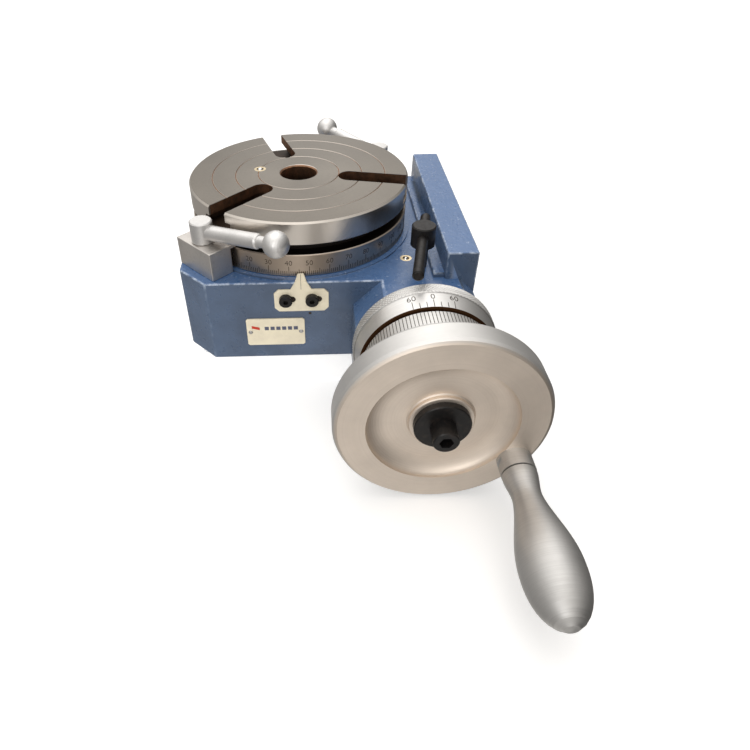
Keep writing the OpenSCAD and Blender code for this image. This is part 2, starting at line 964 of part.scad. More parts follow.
module thrust_cap() {
    color("dimgray")
        difference() {
            bar_worm(worm_bore_r, shoulder_reach + 3, sleeve_front - 2);
            bar_worm(shaft_r + running, shoulder_reach, sleeve_front);
            for (side = [-1, 1])
                translate([worm_x + side * 10.5, -sleeve_front + 5, worm_z])
                    rotate([90, 0, 0])
                        cylinder(h = 5, r = 1.2);
        }
}

module vernier_collar() {
    taper = 0.35;
    front_r = collar_r - 1.6;
    color("gainsboro")
        difference() {
            lathe_worm()
                polygon([
                    [15, collar_back],
                    [collar_r - 0.8, collar_back],
                    [collar_r, collar_back + 0.8],
                    [collar_r, collar_back + knurl_len - 0.5],
                    [collar_r - taper, collar_back + knurl_len],
                    [front_r, collar_front],
                    [front_r - 2.5, collar_front],
                    [front_r - 2.5, sleeve_front + 1],
                    [15, sleeve_front + 1]
                ]);
            bar_worm(sleeve_r, collar_back - 1, sleeve_front + 2, sleeve_x, sleeve_z);
            for (turn = grub_turns)
                collar_screw_bar(turn, collar_r + 2);
        }
}

// Three grub screws lie across the knurled band and bear on the sleeve.
module collar_screw_bar(turn, outer) {
    inner = sleeve_r + sleeve_ecc + 0.1;
    translate([worm_x, -(collar_back + knurl_len / 2), worm_z])
        rotate([0, turn, 0])
            translate([0, 0, inner])
                cylinder(h = outer - inner, r = small_screw_r);
}

module collar_screws() {
    color("black")
        difference() {
            for (turn = grub_turns)
                collar_screw_bar(turn, collar_r - 1.2);
            for (turn = grub_turns)
                translate([worm_x, -(collar_back + knurl_len / 2), worm_z])
                    rotate([0, turn, 0])
                        translate([0, 0, collar_r - 3.2])
                            cylinder(h = 4, r = small_key_r, $fn = 6);
        }
}

// --- worm shaft, dial hub and handwheel -----------------------------------

// Radius of a single-start worm's section at an angle from the middle of its thread.
function worm_section(a) =
    let (u = abs(a) * lead / 360, k = tan(flank), tip = thread_t / 2 - k * gear_mod)
        u < tip ? worm_tip_r
        : u > tip + k * (gear_mod + dedendum) ? worm_root_r
        : worm_tip_r - (u - tip) / k;

module worm_thread() {
    translate([worm_x, worm_len / 2, worm_z])
        rotate([90, 0, 0])
            rotate([0, 0, 180 - 180 * worm_len / lead])
                linear_extrude(worm_len, twist = -360 * worm_len / lead,
                        slices = ceil(worm_len / lead * 18), $fn = 18)
                    polygon([for (a = [-180:20:160]) worm_section(a) * spoke(a)]);
}

module worm_shaft() {
    color("gray")
        difference() {
            union() {
                worm_thread();
                bar_worm(tail_r, -sleeve_tail + 1, -(worm_len / 2 - 1));
                bar_worm(shaft_r, worm_len / 2 - 1, carrier_back);
                bar_worm(11.5, shoulder_reach - 2.8, shoulder_reach + 2.8);
                bar_worm(nose_r, carrier_back - 1, nose_front);
            }
            bar_worm(screw_r, hub_front - 22, hub_front + 1);
            translate([worm_x - key_w / 2, -nose_front, worm_z + nose_r - key_rise])
                cube([key_w, nose_front - nose_back, 2 * key_rise]);
        }
}

module shaft_key() {
    color("dimgray")
        translate([worm_x - key_w / 2, -nose_front, worm_z + nose_r - key_rise])
            cube([key_w, nose_front - nose_back, 2 * key_rise]);
}

// The space for the shaft's nose and its key.
module nose_bore(from, to) {
    bar_worm(nose_r, from, to);
    translate([worm_x - key_w / 2, -to, worm_z])
        cube([key_w, to - from, nose_r + key_rise]);
}

module dial_hub() {
    color("gray")
        difference() {
            union() {
                bar_worm(dial_hub_r, carrier_back, dial_front - 2);
                bar_worm(14, dial_front - 2, wheel_back - 2);
            }
            nose_bore(carrier_back - 1, wheel_back);
            translate(spring_at)
                cylinder(h = 20, r = spring_r);
        }
}

// A plunger in the dial hub presses on the dial's bore, so that the dial stays where it is set.
module dial_spring() {
    nose = 1.6;
    deep = dial_hub_r - (spring_at[2] - worm_z) - nose;
    color("silver")
        translate(spring_at) {
            cylinder(h = deep, r = spring_r - 0.1);
            translate([0, 0, deep])
                sphere(r = nose);
        }
}

module dial_ring() {
    lip = 0.6;
    color("gainsboro")
        difference() {
            lathe_worm()
                polygon([
                    [dial_bore, dial_back],
                    [dial_r - lip, dial_back],
                    [dial_r, dial_back + lip],
                    [dial_r, dial_front - lip],
                    [dial_r - lip, dial_front],
                    [dial_bore, dial_front]
                ]);
            for (i = [0:3])
                translate([worm_x, -(dial_front - 3), worm_z])
                    rotate([0, i * 90 + 45, 0])
                        translate([0, 0, dial_r - 1])
                            cylinder(h = 3, r = 1.2);
        }
}

module handwheel() {
    dish_r = handwheel_r - band_w;
    dish_curve = 8.5;
    dish_fall = dish_depth - 0.5;
    color("gainsboro")
        difference() {
            lathe_worm()
                polygon([
                    [nose_r - 1, wheel_back - 2],
                    [16, wheel_back - 2],
                    [16.5, wheel_back + 1],
                    [dish_r - 2, wheel_back + 3.5],
                    [dish_r + 1, wheel_back + 0.8],
                    [dish_r + 2.5, wheel_back],
                    [handwheel_r - 1.4, wheel_back],
                    [handwheel_r - 0.4, wheel_back + 0.5],
                    [handwheel_r, wheel_back + 1.5],
                    [handwheel_r, wheel_front - 2.2],
                    [handwheel_r - 0.6, wheel_front - 0.7],
                    [handwheel_r - 1.9, wheel_front],
                    [dish_r, wheel_front],
                    for (turn = [0:9:90])
                        [dish_r - dish_curve * (1 - cos(turn)), wheel_front - 0.5 - dish_fall * sin(turn)],
                    [13.9, dish_floor],
                    [13.3, dish_floor + 0.4],
                    [13.3, hub_front - 0.4],
                    [12.9, hub_front],
                    [nose_r - 1, hub_front]
                ]);
            nose_bore(wheel_back - 3, hub_front + 1);
            translate(crank_at)
                rotate([90, 0, 0])
                    translate([0, 0, -handwheel_t - 1])
                        cylinder(h = handwheel_t + 2, r = crank_tail_r);
        }
}

module wheel_washer() {
    washer_r = 11.5;
    color("black")
        lathe_worm()
            polygon([
                [screw_r + screw_gap, hub_front],
                [washer_r, hub_front],
                [washer_r, head_back - 0.4],
                [washer_r - 0.4, head_back],
                [screw_r + screw_gap, head_back]
            ]);
}

module wheel_cap_screw() {
    color("black")
        translate([worm_x, -head_back, worm_z])
            rotate([90, 0, 0])
                cap_screw(screw_r, 20, 5.2, 8, 2.9);
}

// The groove near the crank pin's end: where it starts, its width and its inner radius.
module snap_ring(outer_r) {
    translate([0, 0, ring_groove[0]])
        difference() {
            cylinder(h = ring_groove[1], r = outer_r);
            translate([0, 0, -1])
                cylinder(h = ring_groove[1] + 2, r = ring_groove[2]);
        }
}

module crank_spindle() {
    color("gainsboro")
        translate(crank_at)
            rotate([90, 0, 0])
                difference() {
                    union() {
                        translate([0, 0, -handwheel_t])
                            cylinder(h = handwheel_t + eps, r = crank_tail_r);
                        cylinder(h = crank_collar_len - 0.15, r = crank_collar_r);
                        cylinder(h = crank_collar_len + crank_pin_len, r = crank_pin_r);
                    }
                    for (turn = [0, 180])
                        rotate([0, 0, turn])
                            translate([crank_collar_r - 0.9, -10, 1.5])
                                cube([5, 20, crank_collar_len - 3]);
                    snap_ring(crank_pin_r + 1);
                }
}

module grip_retainer() {
    color("dimgray")
        translate(crank_at)
            rotate([90, 0, 0])
                snap_ring(5.2);
}

// Radius of the turned grip at a share of its length, from its neck to its tip.
function grip_radius(s) =
    s < 0.17 ? 5.8 + 1.3 * pow(cos(90 * s / 0.17), 2)
    : s < 0.66 ? 5.8 + (grip_r - 5.8) * pow(sin(90 * (s - 0.17) / 0.49), 1.6)
    : grip_r * sqrt(max(0, 1 - pow((s - 0.66) / 0.34, 2.3)));

module crank_grip() {
    steps = 30;
    color("gainsboro")
        translate(crank_at)
            rotate([90, 0, 0])
                translate([0, 0, crank_collar_len + 0.15])
                    difference() {
                        rotate_extrude()
                            polygon([
                                [0, 0],
                                [grip_radius(0) - 0.4, 0],
                                for (i = [0:steps - 1])
                                    [grip_radius(i / steps), 0.4 + (grip_len - 0.55) * i / steps],
                                [2.6, grip_len - 0.5],
                                [0, grip_len - 0.15]
                            ]);
                        translate([0, 0, -1])
                            cylinder(h = crank_pin_len - 2.6, r = crank_pin_r + running);
                        translate([0, 0, ring_groove[0] - crank_collar_len - 1])
                            cylinder(h = 5, r = 5.6);
                    }
}

// --- lock of the eccentric sleeve ------------------------------------------

module lock_screw() {
    edge = 0.5;
    color("black")
        difference() {
            translate([lock_x, lock_y, 0]) {
                translate([0, 0, lock_stem_z])
                    cylinder(h = lock_head_z - lock_stem_z + 1, r = lock_stem_r - running);
                translate([0, 0, lock_head_z])
                    cylinder(h = lock_h - edge, r = lock_r);
                translate([0, 0, lock_head_z + lock_h - edge])
                    cylinder(h = edge, r1 = lock_r, r2 = lock_r - edge);
            }
            bar_place()
                cylinder(h = 40, r = bar_r + running, center = true);
        }
}

// The brass pad is dished to the sleeve, and the screw presses on it.
module lock_pad() {
    color("gold")
        difference() {
            translate([lock_x, lock_y, sleeve_z + sleeve_r - 1.5])
                cylinder(h = lock_pad_t + 1.4, r = lock_stem_r - running);
            bar_worm(sleeve_r + running, -lock_y - 10, -lock_y + 10, sleeve_x, sleeve_z);
        }
}

// Z runs along the sliding bar, towards its long end.
module bar_place() {
    translate([lock_x, lock_y, bar_z])
        rotate([0, 0, -bar_turn])
            rotate([90, 0, 0])
                children();
}

module lock_bar() {
    edge = 0.7;
    bar_in = bar_out - bar_len;
    color("black")
        bar_place()
            rotate_extrude()
                polygon([
                    [0, bar_in],
                    [bar_r - edge, bar_in],
                    [bar_r, bar_in + edge],
                    [bar_r, bar_out - edge],
                    [bar_r - edge, bar_out],
                    [0, bar_out]
                ]);
}

base_casting();
bottom_cover();
cover_screws();
thrust_washer();
base_oiler_body();
base_oiler_ball();
pointer_plate();
pointer_screws();
nameplate();
nameplate_pins();
clamp_block_front();
clamp_block_rear();
clamp_studs();
sleeve_stop_screw();
faceplate();
worm_wheel();
wheel_dowels();
spindle_nut();
nut_grub_screw();
table_oiler_body();
table_oiler_ball();
eccentric_sleeve();
rear_bush();
front_bush();
thrust_cap();
vernier_collar();
collar_screws();
worm_shaft();
shaft_key();
dial_hub();
dial_spring();
handwheel();
wheel_washer();
wheel_cap_screw();
crank_spindle();
grip_retainer();
dial_ring();
crank_grip();
clamp_nut_front();
clamp_lever_front();
clamp_nut_rear();
clamp_lever_rear();
lock_screw();
lock_pad();
lock_bar();
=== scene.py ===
"""Looks of a rotary table: enamel, ground and turned metal, engraved scales, stage and camera."""

import json
import math

import bmesh
import bpy
from bpy.props import FloatProperty, FloatVectorProperty, IntProperty, PointerProperty
from mathutils import Matrix, Vector

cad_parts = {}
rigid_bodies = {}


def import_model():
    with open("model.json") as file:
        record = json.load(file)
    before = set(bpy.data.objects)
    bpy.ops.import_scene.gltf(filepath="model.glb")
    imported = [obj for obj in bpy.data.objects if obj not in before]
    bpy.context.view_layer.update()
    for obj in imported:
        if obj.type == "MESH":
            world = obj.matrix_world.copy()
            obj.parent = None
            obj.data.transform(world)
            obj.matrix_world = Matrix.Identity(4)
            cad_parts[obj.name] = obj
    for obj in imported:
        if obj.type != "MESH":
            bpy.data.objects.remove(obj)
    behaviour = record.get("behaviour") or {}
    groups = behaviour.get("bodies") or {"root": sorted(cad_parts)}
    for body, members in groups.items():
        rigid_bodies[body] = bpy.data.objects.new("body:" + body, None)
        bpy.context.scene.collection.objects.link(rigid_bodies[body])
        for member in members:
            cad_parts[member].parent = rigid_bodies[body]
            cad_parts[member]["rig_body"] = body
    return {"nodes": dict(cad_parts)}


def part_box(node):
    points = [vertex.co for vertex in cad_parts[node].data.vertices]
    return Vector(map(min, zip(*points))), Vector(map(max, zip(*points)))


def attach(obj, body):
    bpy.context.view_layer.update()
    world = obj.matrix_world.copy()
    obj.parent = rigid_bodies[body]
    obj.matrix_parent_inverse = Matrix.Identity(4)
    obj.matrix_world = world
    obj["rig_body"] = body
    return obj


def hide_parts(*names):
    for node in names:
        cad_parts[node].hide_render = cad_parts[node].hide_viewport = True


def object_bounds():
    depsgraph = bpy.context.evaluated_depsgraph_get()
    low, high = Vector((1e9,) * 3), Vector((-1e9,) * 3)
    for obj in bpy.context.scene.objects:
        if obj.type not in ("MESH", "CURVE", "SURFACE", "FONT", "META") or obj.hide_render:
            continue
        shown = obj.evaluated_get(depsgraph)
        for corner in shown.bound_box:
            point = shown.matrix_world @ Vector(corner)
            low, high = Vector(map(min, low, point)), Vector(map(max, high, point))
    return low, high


bl_info = {
    "name": "Rotary table",
    "version": (1, 0, 0),
    "blender": (4, 5, 0),
    "location": "View3D > Sidebar > Rotary table",
    "description": "Finishes and engraved scales of a worm-driven rotary table",
    "category": "Object",
}

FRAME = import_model()
CAD_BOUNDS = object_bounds()
NODES = FRAME["nodes"]
MM = 0.001

TABLE_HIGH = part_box("faceplate")[1]
CASTING_LOW, CASTING_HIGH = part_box("base_casting")
COLLAR_LOW, COLLAR_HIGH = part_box("vernier_collar")
DIAL_LOW, DIAL_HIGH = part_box("dial_ring")
POINTER_LOW, POINTER_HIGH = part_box("pointer_plate")
NAME_LOW, NAME_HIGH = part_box("nameplate")
CASTING_FRONT = NAME_HIGH.y
WORM_X = (DIAL_LOW.x + DIAL_HIGH.x) / 2
WORM_Z = (DIAL_LOW.z + DIAL_HIGH.z) / 2
DIAL_R = (DIAL_HIGH.x - DIAL_LOW.x) / 2
COLLAR_R = (COLLAR_HIGH.x - COLLAR_LOW.x) / 2
POINTER_OVERLAP = 1.6 * MM  # the pointer's tip stands this far above the ring's lower edge
RING_BOTTOM = POINTER_HIGH.z - POINTER_OVERLAP
RING_TOP = RING_BOTTOM + 11 * MM
NECK_TOP = RING_BOTTOM + 15 * MM
BODY_TOP = RING_BOTTOM - 1.3 * MM
RING_R = TABLE_HIGH.x - 0.1 * MM
SLOT_FLOOR = TABLE_HIGH.z - 9.3 * MM
INK_LIFT = 0.04 * MM

RIGHT = Vector((1, 0, 0))
UP = Vector((0, 0, 1))
FRONT = Vector((0, -1, 0))
PLATE_SLANT = -0.28
CAP_HEIGHT = 0.72  # height of a digit as a share of its font's size
THINNER = 0.012  # how much is taken off a digit's strokes, as a share of its height


# --- settings -----------------------------------------------------------------


def length(name, description, default):
    """A size in metres, whose default is given in millimetres."""
    return FloatProperty(
        name=name,
        description=description,
        default=default * MM,
        min=0.0,
        unit="LENGTH",
        precision=5,
    )


def turn(name, description, degrees):
    """An angle, whose default is given in degrees."""
    return FloatProperty(
        name=name,
        description=description,
        default=math.radians(degrees),
        subtype="ANGLE",
    )


def tint(name, description, default):
    """A linear colour."""
    return FloatVectorProperty(
        name=name,
        description=description,
        default=default,
        subtype="COLOR",
        size=3,
        min=0.0,
        max=1.0,
    )


class RotaryScaleSizes(bpy.types.PropertyGroup):
    """Sizes of the engraved scales, the knurling and the rounded castings."""

    mark_width: length("Mark width", "Width of an engraved line", 0.28)
    ring_short: length("Degree mark", "Length of a one degree mark on the ring", 2.0)
    ring_middle: length("Five degree mark", "Length of a five degree mark", 3.0)
    ring_long: length("Ten degree mark", "Length of a ten degree mark", 4.4)
    ring_digit: length("Ring number", "Height of the ring's numbers", 2.6)
    ring_zero: turn("Ring zero", "Direction of the ring's zero from +X", -135.2)
    vernier_step: turn("Vernier step", "Angle between two vernier marks", 5.5)
    vernier_short: length("Vernier mark", "Length of a plain vernier mark", 2.9)
    vernier_long: length("Numbered mark", "Length of a numbered vernier mark", 4.2)
    vernier_digit: length("Vernier number", "Height of the vernier's numbers", 2.9)
    dial_marks: IntProperty(
        name="Dial marks",
        description="Number of marks around the dial",
        default=120,
        min=12,
    )
    dial_short: length("Dial mark", "Length of a plain dial mark", 8.0)
    dial_long: length("Long dial mark", "Length of each fifth dial mark", 9.6)
    dial_digit: length("Dial number", "Height of the dial's numbers", 3.4)
    knurl_length: length("Knurled length", "Length of the collar's knurled band", 6.0)
    knurl_depth: length("Knurl depth", "Height of the knurl's points", 0.32)
    knurl_count: IntProperty(
        name="Knurls",
        description="Number of knurls around the collar",
        default=128,
        min=24,
    )
    casting_round: length("Casting edge", "Radius of the casting's edges", 0.9)
    block_round: length("Clamp edge", "Radius of the clamp blocks' edges", 0.45)


class RotaryColours(bpy.types.PropertyGroup):
    """Colours of the finishes."""

    # The paint is the blue of the faces that don't look up; machine_enamel paints the tops lighter
    # as painted light.
    paint: tint("Paint", "Blue machine enamel", (0.060, 0.096, 0.165))
    # Also the colour of the painted glints on upward faces and of the painted highlight along the
    # upper edges.
    paint_light: tint("Worn paint", "Thin paint on the edges", (0.52, 0.60, 0.72))
    steel: tint("Ground steel", "Ground steel of the rim", (0.74, 0.69, 0.63))
    # A far darker copy of the steel for the top: painted shade.
    top_steel: tint("Ground top", "Ground and oiled top", (0.215, 0.195, 0.170))
    ring: tint("Ring steel", "Oiled steel of the graduated ring", (0.58, 0.48, 0.39))
    rust: tint("Rust tint", "Old oil in the slots and grooves", (0.20, 0.095, 0.045))
    aluminium: tint("Aluminium", "Turned aluminium", (0.68, 0.67, 0.655))
    wheel_face: tint("Wheel face", "Warm film on the handwheel", (0.86, 0.765, 0.67))
    nickel: tint("Nickel", "Satin nickel plating", (0.74, 0.73, 0.72))
    casting: tint("Bare casting", "Ground cast clamp blocks", (0.66, 0.63, 0.60))
    black: tint("Black oxide", "Oiled black oxide", (0.010, 0.009, 0.009))
    plate: tint("Plate", "Cream of the small plates", (0.82, 0.74, 0.56))
    ink: tint("Ink", "Filling of the engraved marks", (0.035, 0.024, 0.016))
    accent: tint("Accent", "Coloured bar of the nameplate", (0.55, 0.045, 0.02))
    floor: tint("Floor", "Pale studio floor", (0.86, 0.86, 0.86))


class RotaryCamera(bpy.types.PropertyGroup):
    """Place and lens of the camera."""

    place: FloatVectorProperty(
        name="Place",
        description="Where the camera stands",
        default=(0.00766, -0.29317, 0.19519),
        subtype="TRANSLATION",
        precision=5,
    )
    yaw: turn("Yaw", "Turn from +Y towards +X", 0.213)
    pitch: turn("Pitch", "How far the camera looks down", 40.183)
    roll: turn("Roll", "Turn of the picture", 1.247)
    lens: FloatProperty(
        name="Lens",
        description="Focal length on a 36 mm wide sensor, in millimetres",
        default=28.737,
        min=8.0,
    )
    shift: FloatVectorProperty(
        name="Shift",
        description="Shift of the lens, as shares of the picture's width",
        default=(0.0733, -0.02),
        size=2,
    )


def sizes():
    """The scale sizes of this scene."""
    return bpy.context.scene.rotary_sizes


def colours():
    """The colours of this scene."""
    return bpy.context.scene.rotary_colours


# --- node tree helpers ----------------------------------------------------------


class Shader:
    """A Principled material under construction, with short calls for the nodes used here."""

    def __init__(self, name, metallic, roughness):
        self.material = bpy.data.materials.new(name)
        self.material.use_nodes = True
        self.tree = self.material.node_tree
        self.bsdf = self.tree.nodes["Principled BSDF"]
        self.bsdf.inputs["Metallic"].default_value = metallic
        self.bsdf.inputs["Roughness"].default_value = roughness
        self.coordinates = self.node("ShaderNodeTexCoord").outputs["Object"]

    def node(self, kind, **values):
        """A new node with the given attributes."""
        made = self.tree.nodes.new(kind)
        for key, value in values.items():
            setattr(made, key, value)
        return made

    def feed(self, target, value):
        """Links a socket, or sets a plain value."""
        if isinstance(value, bpy.types.NodeSocket):
            self.tree.links.new(value, target)
        else:
            target.default_value = value

    def math(self, operation, first, second=0.0):
        """A math node's result."""
        made = self.node("ShaderNodeMath", operation=operation)
        self.feed(made.inputs[0], first)
        self.feed(made.inputs[1], second)
        return made.outputs[0]

    def noise(self, scale, detail=3.0, roughness=0.5, source=None):
        """Fractal noise, from 0 to 1, by default over the piece's own coordinates."""
        made = self.node("ShaderNodeTexNoise")
        self.feed(made.inputs["Vector"], source or self.coordinates)
        made.inputs["Scale"].default_value = scale
        made.inputs["Detail"].default_value = detail
        made.inputs["Roughness"].default_value = roughness
        return made.outputs["Fac"]

    def span(self, value, low, high, to_low=0.0, to_high=1.0):
        """Maps low..high to to_low..to_high, and clamps."""
        made = self.node("ShaderNodeMapRange")
        self.feed(made.inputs["Value"], value)
        made.inputs["From Min"].default_value = low
        made.inputs["From Max"].default_value = high
        made.inputs["To Min"].default_value = to_low
        made.inputs["To Max"].default_value = to_high
        return made.outputs["Result"]

    def mix(self, factor, first, second, blend="MIX"):
        """A mix of two colours."""
        made = self.node("ShaderNodeMix", data_type="RGBA", blend_type=blend)
        self.feed(made.inputs[0], factor)
        self.feed(made.inputs[6], rgba(first))
        self.feed(made.inputs[7], rgba(second))
        return made.outputs[2]

    def axes(self, source=None):
        """The x, y and z of a vector, by default of the piece's own coordinates."""
        made = self.node("ShaderNodeSeparateXYZ")
        self.feed(made.inputs[0], source or self.coordinates)
        return made.outputs

    def radius(self, across, up, centre=(0.0, 0.0)):
        """Distance from an axis, given two coordinates and the axis's place."""
        a = self.math("SUBTRACT", across, centre[0])
        b = self.math("SUBTRACT", up, centre[1])
        squares = self.math("ADD", self.math("MULTIPLY", a, a), self.math("MULTIPLY", b, b))
        return self.math("SQRT", squares)

    def rings(self, scale, radius, along):
        """Fine noise that is the same all around an axis."""
        ring = self.node("ShaderNodeCombineXYZ")
        self.feed(ring.inputs[0], radius)
        self.feed(ring.inputs[1], along)
        return self.noise(scale, 2, 0.5, ring.outputs[0])

    def clouded(self, clouds, colour, dark, light):
        """A colour that wanders between a darker and a lighter shade."""
        return self.mix(self.span(clouds, 0.3, 0.7), shade(colour, dark), shade(colour, light))

    def upward(self):
        """How far a face looks up, from -1 to 1."""
        return self.axes(self.node("ShaderNodeNewGeometry").outputs["Normal"])[2]

    def bump(self, height, strength, distance):
        """Puts a bump on the surface."""
        made = self.node("ShaderNodeBump")
        made.inputs["Strength"].default_value = strength
        made.inputs["Distance"].default_value = distance
        self.feed(made.inputs["Height"], height)
        self.feed(self.bsdf.inputs["Normal"], made.outputs[0])

    def colour(self, value):
        """Sets or links the base colour."""
        self.feed(self.bsdf.inputs["Base Color"], rgba(value))

    def roughness(self, value):
        """Sets or links the roughness."""
        self.feed(self.bsdf.inputs["Roughness"], value)


def rgba(value):
    """A colour with its alpha, or the socket as it is."""
    if isinstance(value, bpy.types.NodeSocket):
        return value
    return (*tuple(value)[:3], 1.0)


def shade(colour, factor):
    """The colour, darker or lighter."""
    return tuple(min(1.0, c * factor) for c in tuple(colour)[:3])


# --- finishes -------------------------------------------------------------------


def machine_enamel():
    """Thick blue enamel over a rough casting: tops painted lighter as painted light, painted glints
    on them, and pale upper edges of worn paint and painted highlight.
    """
    paint = colours().paint
    s = Shader("machine_enamel", 0.0, 0.36)
    blotches = s.noise(55, 4)
    base = s.mix(s.span(blotches, 0.35, 0.7), shade(paint, 0.85), shade(paint, 1.18))
    # Faces that look up are painted a lighter blue: painted light from above. The paint colour is
    # the blue of the faces that don't look up.
    facing = s.upward()
    upward = s.span(facing, 0.5, 0.9)
    base = s.mix(s.math("MULTIPLY", upward, 0.68), base, (0.075, 0.175, 0.40))
    # Pale flecks on upward faces only: painted glints.
    painted_glints = s.span(s.noise(520, 4, 0.7), 0.6, 0.72)
    painted_glints = s.math("MULTIPLY", painted_glints, s.math("MULTIPLY", upward, 0.6))
    base = s.mix(painted_glints, base, colours().paint_light)
    # Pale edges: worn paint and painted highlight, strong along the upper edges and faint below
    # them.
    wear_and_highlight = s.node("ShaderNodeAttribute", attribute_name="edge_wear_and_highlight").outputs["Fac"]
    patchy = s.span(s.noise(260, 4, 0.7), 0.4, 0.62)
    high = s.span(s.axes()[2], BODY_TOP - 3 * MM, BODY_TOP - 0.6 * MM, 0.15, 1)
    worn = s.math("MULTIPLY", s.math("MULTIPLY", wear_and_highlight, patchy), high)
    s.colour(s.mix(s.math("MULTIPLY", worn, 0.75), base, colours().paint_light))
    s.roughness(s.span(s.noise(300, 3), 0.3, 0.7, 0.24, 0.42))
    peel = s.math("ADD", s.noise(620, 2, 0.5), s.math("MULTIPLY", s.noise(190, 3), 1.6))
    height = s.math("MULTIPLY", peel, s.span(facing, 0.3, 0.9, 0.35, 1.0))
    s.bump(height, 0.6, 0.4 * MM)
    s.bsdf.inputs["Coat Weight"].default_value = 0.3
    s.bsdf.inputs["Coat Roughness"].default_value = 0.16
    return s.material


def ground_steel():
    """Ground steel: a bright rim, a top painted far darker as painted shade, and brown where old
    oil stays in slots and grooves, with painted shade deeper in.
    """
    steel, rust, top = colours().steel, colours().rust, colours().top_steel
    s = Shader("ground_steel", 1.0, 0.34)
    s.bsdf.inputs["Anisotropic"].default_value = 0.6
    around = s.node("ShaderNodeTangent", direction_type="RADIAL", axis="Z")
    s.feed(s.bsdf.inputs["Tangent"], around.outputs[0])
    x, y, z = s.axes()
    radius = s.radius(x, y)
    turned = s.rings(2600, radius, z)
    clouds = s.noise(30, 4, 0.6)
    grain = s.noise(900, 3, 0.6)
    facing = s.upward()
    base = s.clouded(clouds, top, 0.93, 1.06)
    base = s.mix(s.span(grain, 0.45, 0.75, 0, 0.3), base, shade(top, 0.75))
    # Faces that don't look up take the bright steel, and the top keeps the darker copy: painted
    # shade on the top.
    base = s.mix(s.span(facing, 0.95, 0.8), base, steel)
    low_ring = s.span(z, RING_TOP, RING_TOP - 0.4 * MM)
    base = s.mix(low_ring, base, s.clouded(clouds, colours().ring, 1.0, 0.8))
    above_ring = s.span(z, RING_TOP - 0.1 * MM, RING_TOP + 0.2 * MM)
    below_rim = s.span(z, NECK_TOP + 0.2 * MM, NECK_TOP - 0.1 * MM)
    neck = s.math("MULTIPLY", above_ring, below_rim)
    below = s.span(z, TABLE_HIGH.z - 0.3 * MM, TABLE_HIGH.z - 0.08 * MM, 1, 0)
    inside = s.span(radius, TABLE_HIGH.x - 1.2 * MM, TABLE_HIGH.x - 0.6 * MM, 1, 0)
    hidden = s.math("MAXIMUM", s.math("MULTIPLY", below, inside), neck)
    # Old oil browns the slots and grooves, and painted shade darkens them towards the slot floors.
    slot_floor_shade = s.span(z, SLOT_FLOOR, TABLE_HIGH.z - 4 * MM, 0.04, 1)
    brown = s.mix(s.span(s.noise(240, 4, 0.65), 0.35, 0.65), shade(rust, 0.8), shade(rust, 1.9))
    oil_and_shade = s.mix(1.0, brown, slot_floor_shade, "MULTIPLY")
    s.colour(s.mix(s.math("MULTIPLY", hidden, 0.92), base, oil_and_shade))
    gloss = s.math("ADD", s.span(turned, 0.3, 0.7, 0.29, 0.32), s.math("MULTIPLY", hidden, 0.25))
    s.roughness(gloss)
    s.bump(turned, 0.05, 0.02 * MM)
    return s.material


def turned_metal(name, colour, roughness, centre=(WORM_X, WORM_Z), depth=0.03, shaded_end=None):
    """Turned metal, whose fine rings run around an axis along Y, with a dark brown painted shade on
    its front end.
    """
    s = Shader(name, 1.0, roughness)
    x, y, z = s.axes()
    radius = s.radius(x, z, centre)
    rings = s.rings(2200, radius, y)
    base = s.clouded(s.noise(60, 4, 0.6), colour, 0.93, 1.06)
    base = s.mix(s.span(rings, 0.4, 0.7, 0, 0.15), base, shade(colour, 0.7))
    if shaded_end is not None:
        # Dark brown at the front end: painted shade where it meets the next part.
        base = s.mix(s.span(y, shaded_end + 0.12 * MM, shaded_end + 0.04 * MM), base, (0.10, 0.045, 0.02))
    s.colour(base)
    s.roughness(s.span(rings, 0.3, 0.7, roughness - 0.05, roughness + 0.07))
    s.bump(rings, 0.15, depth * MM)
    return s.material


def blasted_metal(name, colour, roughness, grain=900, strength=0.25):
    """Fine blasted, plated or bare cast metal with an even grain."""
    s = Shader(name, 1.0, roughness)
    grainy = s.noise(grain, 3, 0.6)
    base = s.clouded(s.noise(70, 4, 0.6), colour, 0.92, 1.07)
    s.colour(s.mix(s.span(grainy, 0.55, 0.8, 0, 0.3), base, shade(colour, 0.6)))
    s.roughness(s.span(grainy, 0.3, 0.7, roughness - 0.06, roughness + 0.1))
    s.bump(grainy, strength, 0.08 * MM)
    return s.material


def handwheel_metal():
    """Turned aluminium with a cool rim and a warm film over its face."""
    s = Shader("handwheel_metal", 1.0, 0.36)
    x, y, z = s.axes()
    radius = s.radius(x, z, (WORM_X, WORM_Z))
    wheel_low, wheel_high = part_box("handwheel")
    rim_r = (wheel_high.x - wheel_low.x) / 2
    front = s.span(y, wheel_low.y + 1.0 * MM, wheel_low.y + 0.2 * MM)
    dish = s.span(radius, rim_r - 11.5 * MM, rim_r - 12.5 * MM)
    film = s.math("MAXIMUM", front, dish)
    rings = s.rings(1500, radius, y)
    clouds = s.noise(45, 4, 0.6)
    warm = colours().wheel_face
    face = s.clouded(clouds, warm, 0.93, 1.07)
    face = s.mix(s.span(rings, 0.4, 0.7, 0, 0.1), face, shade(warm, 0.8))
    edge = s.clouded(clouds, colours().aluminium, 0.97, 1.1)
    s.colour(s.mix(film, edge, face))
    s.roughness(s.span(rings, 0.3, 0.7, 0.5, 0.56))
    s.bump(rings, 0.06, 0.02 * MM)
    return s.material


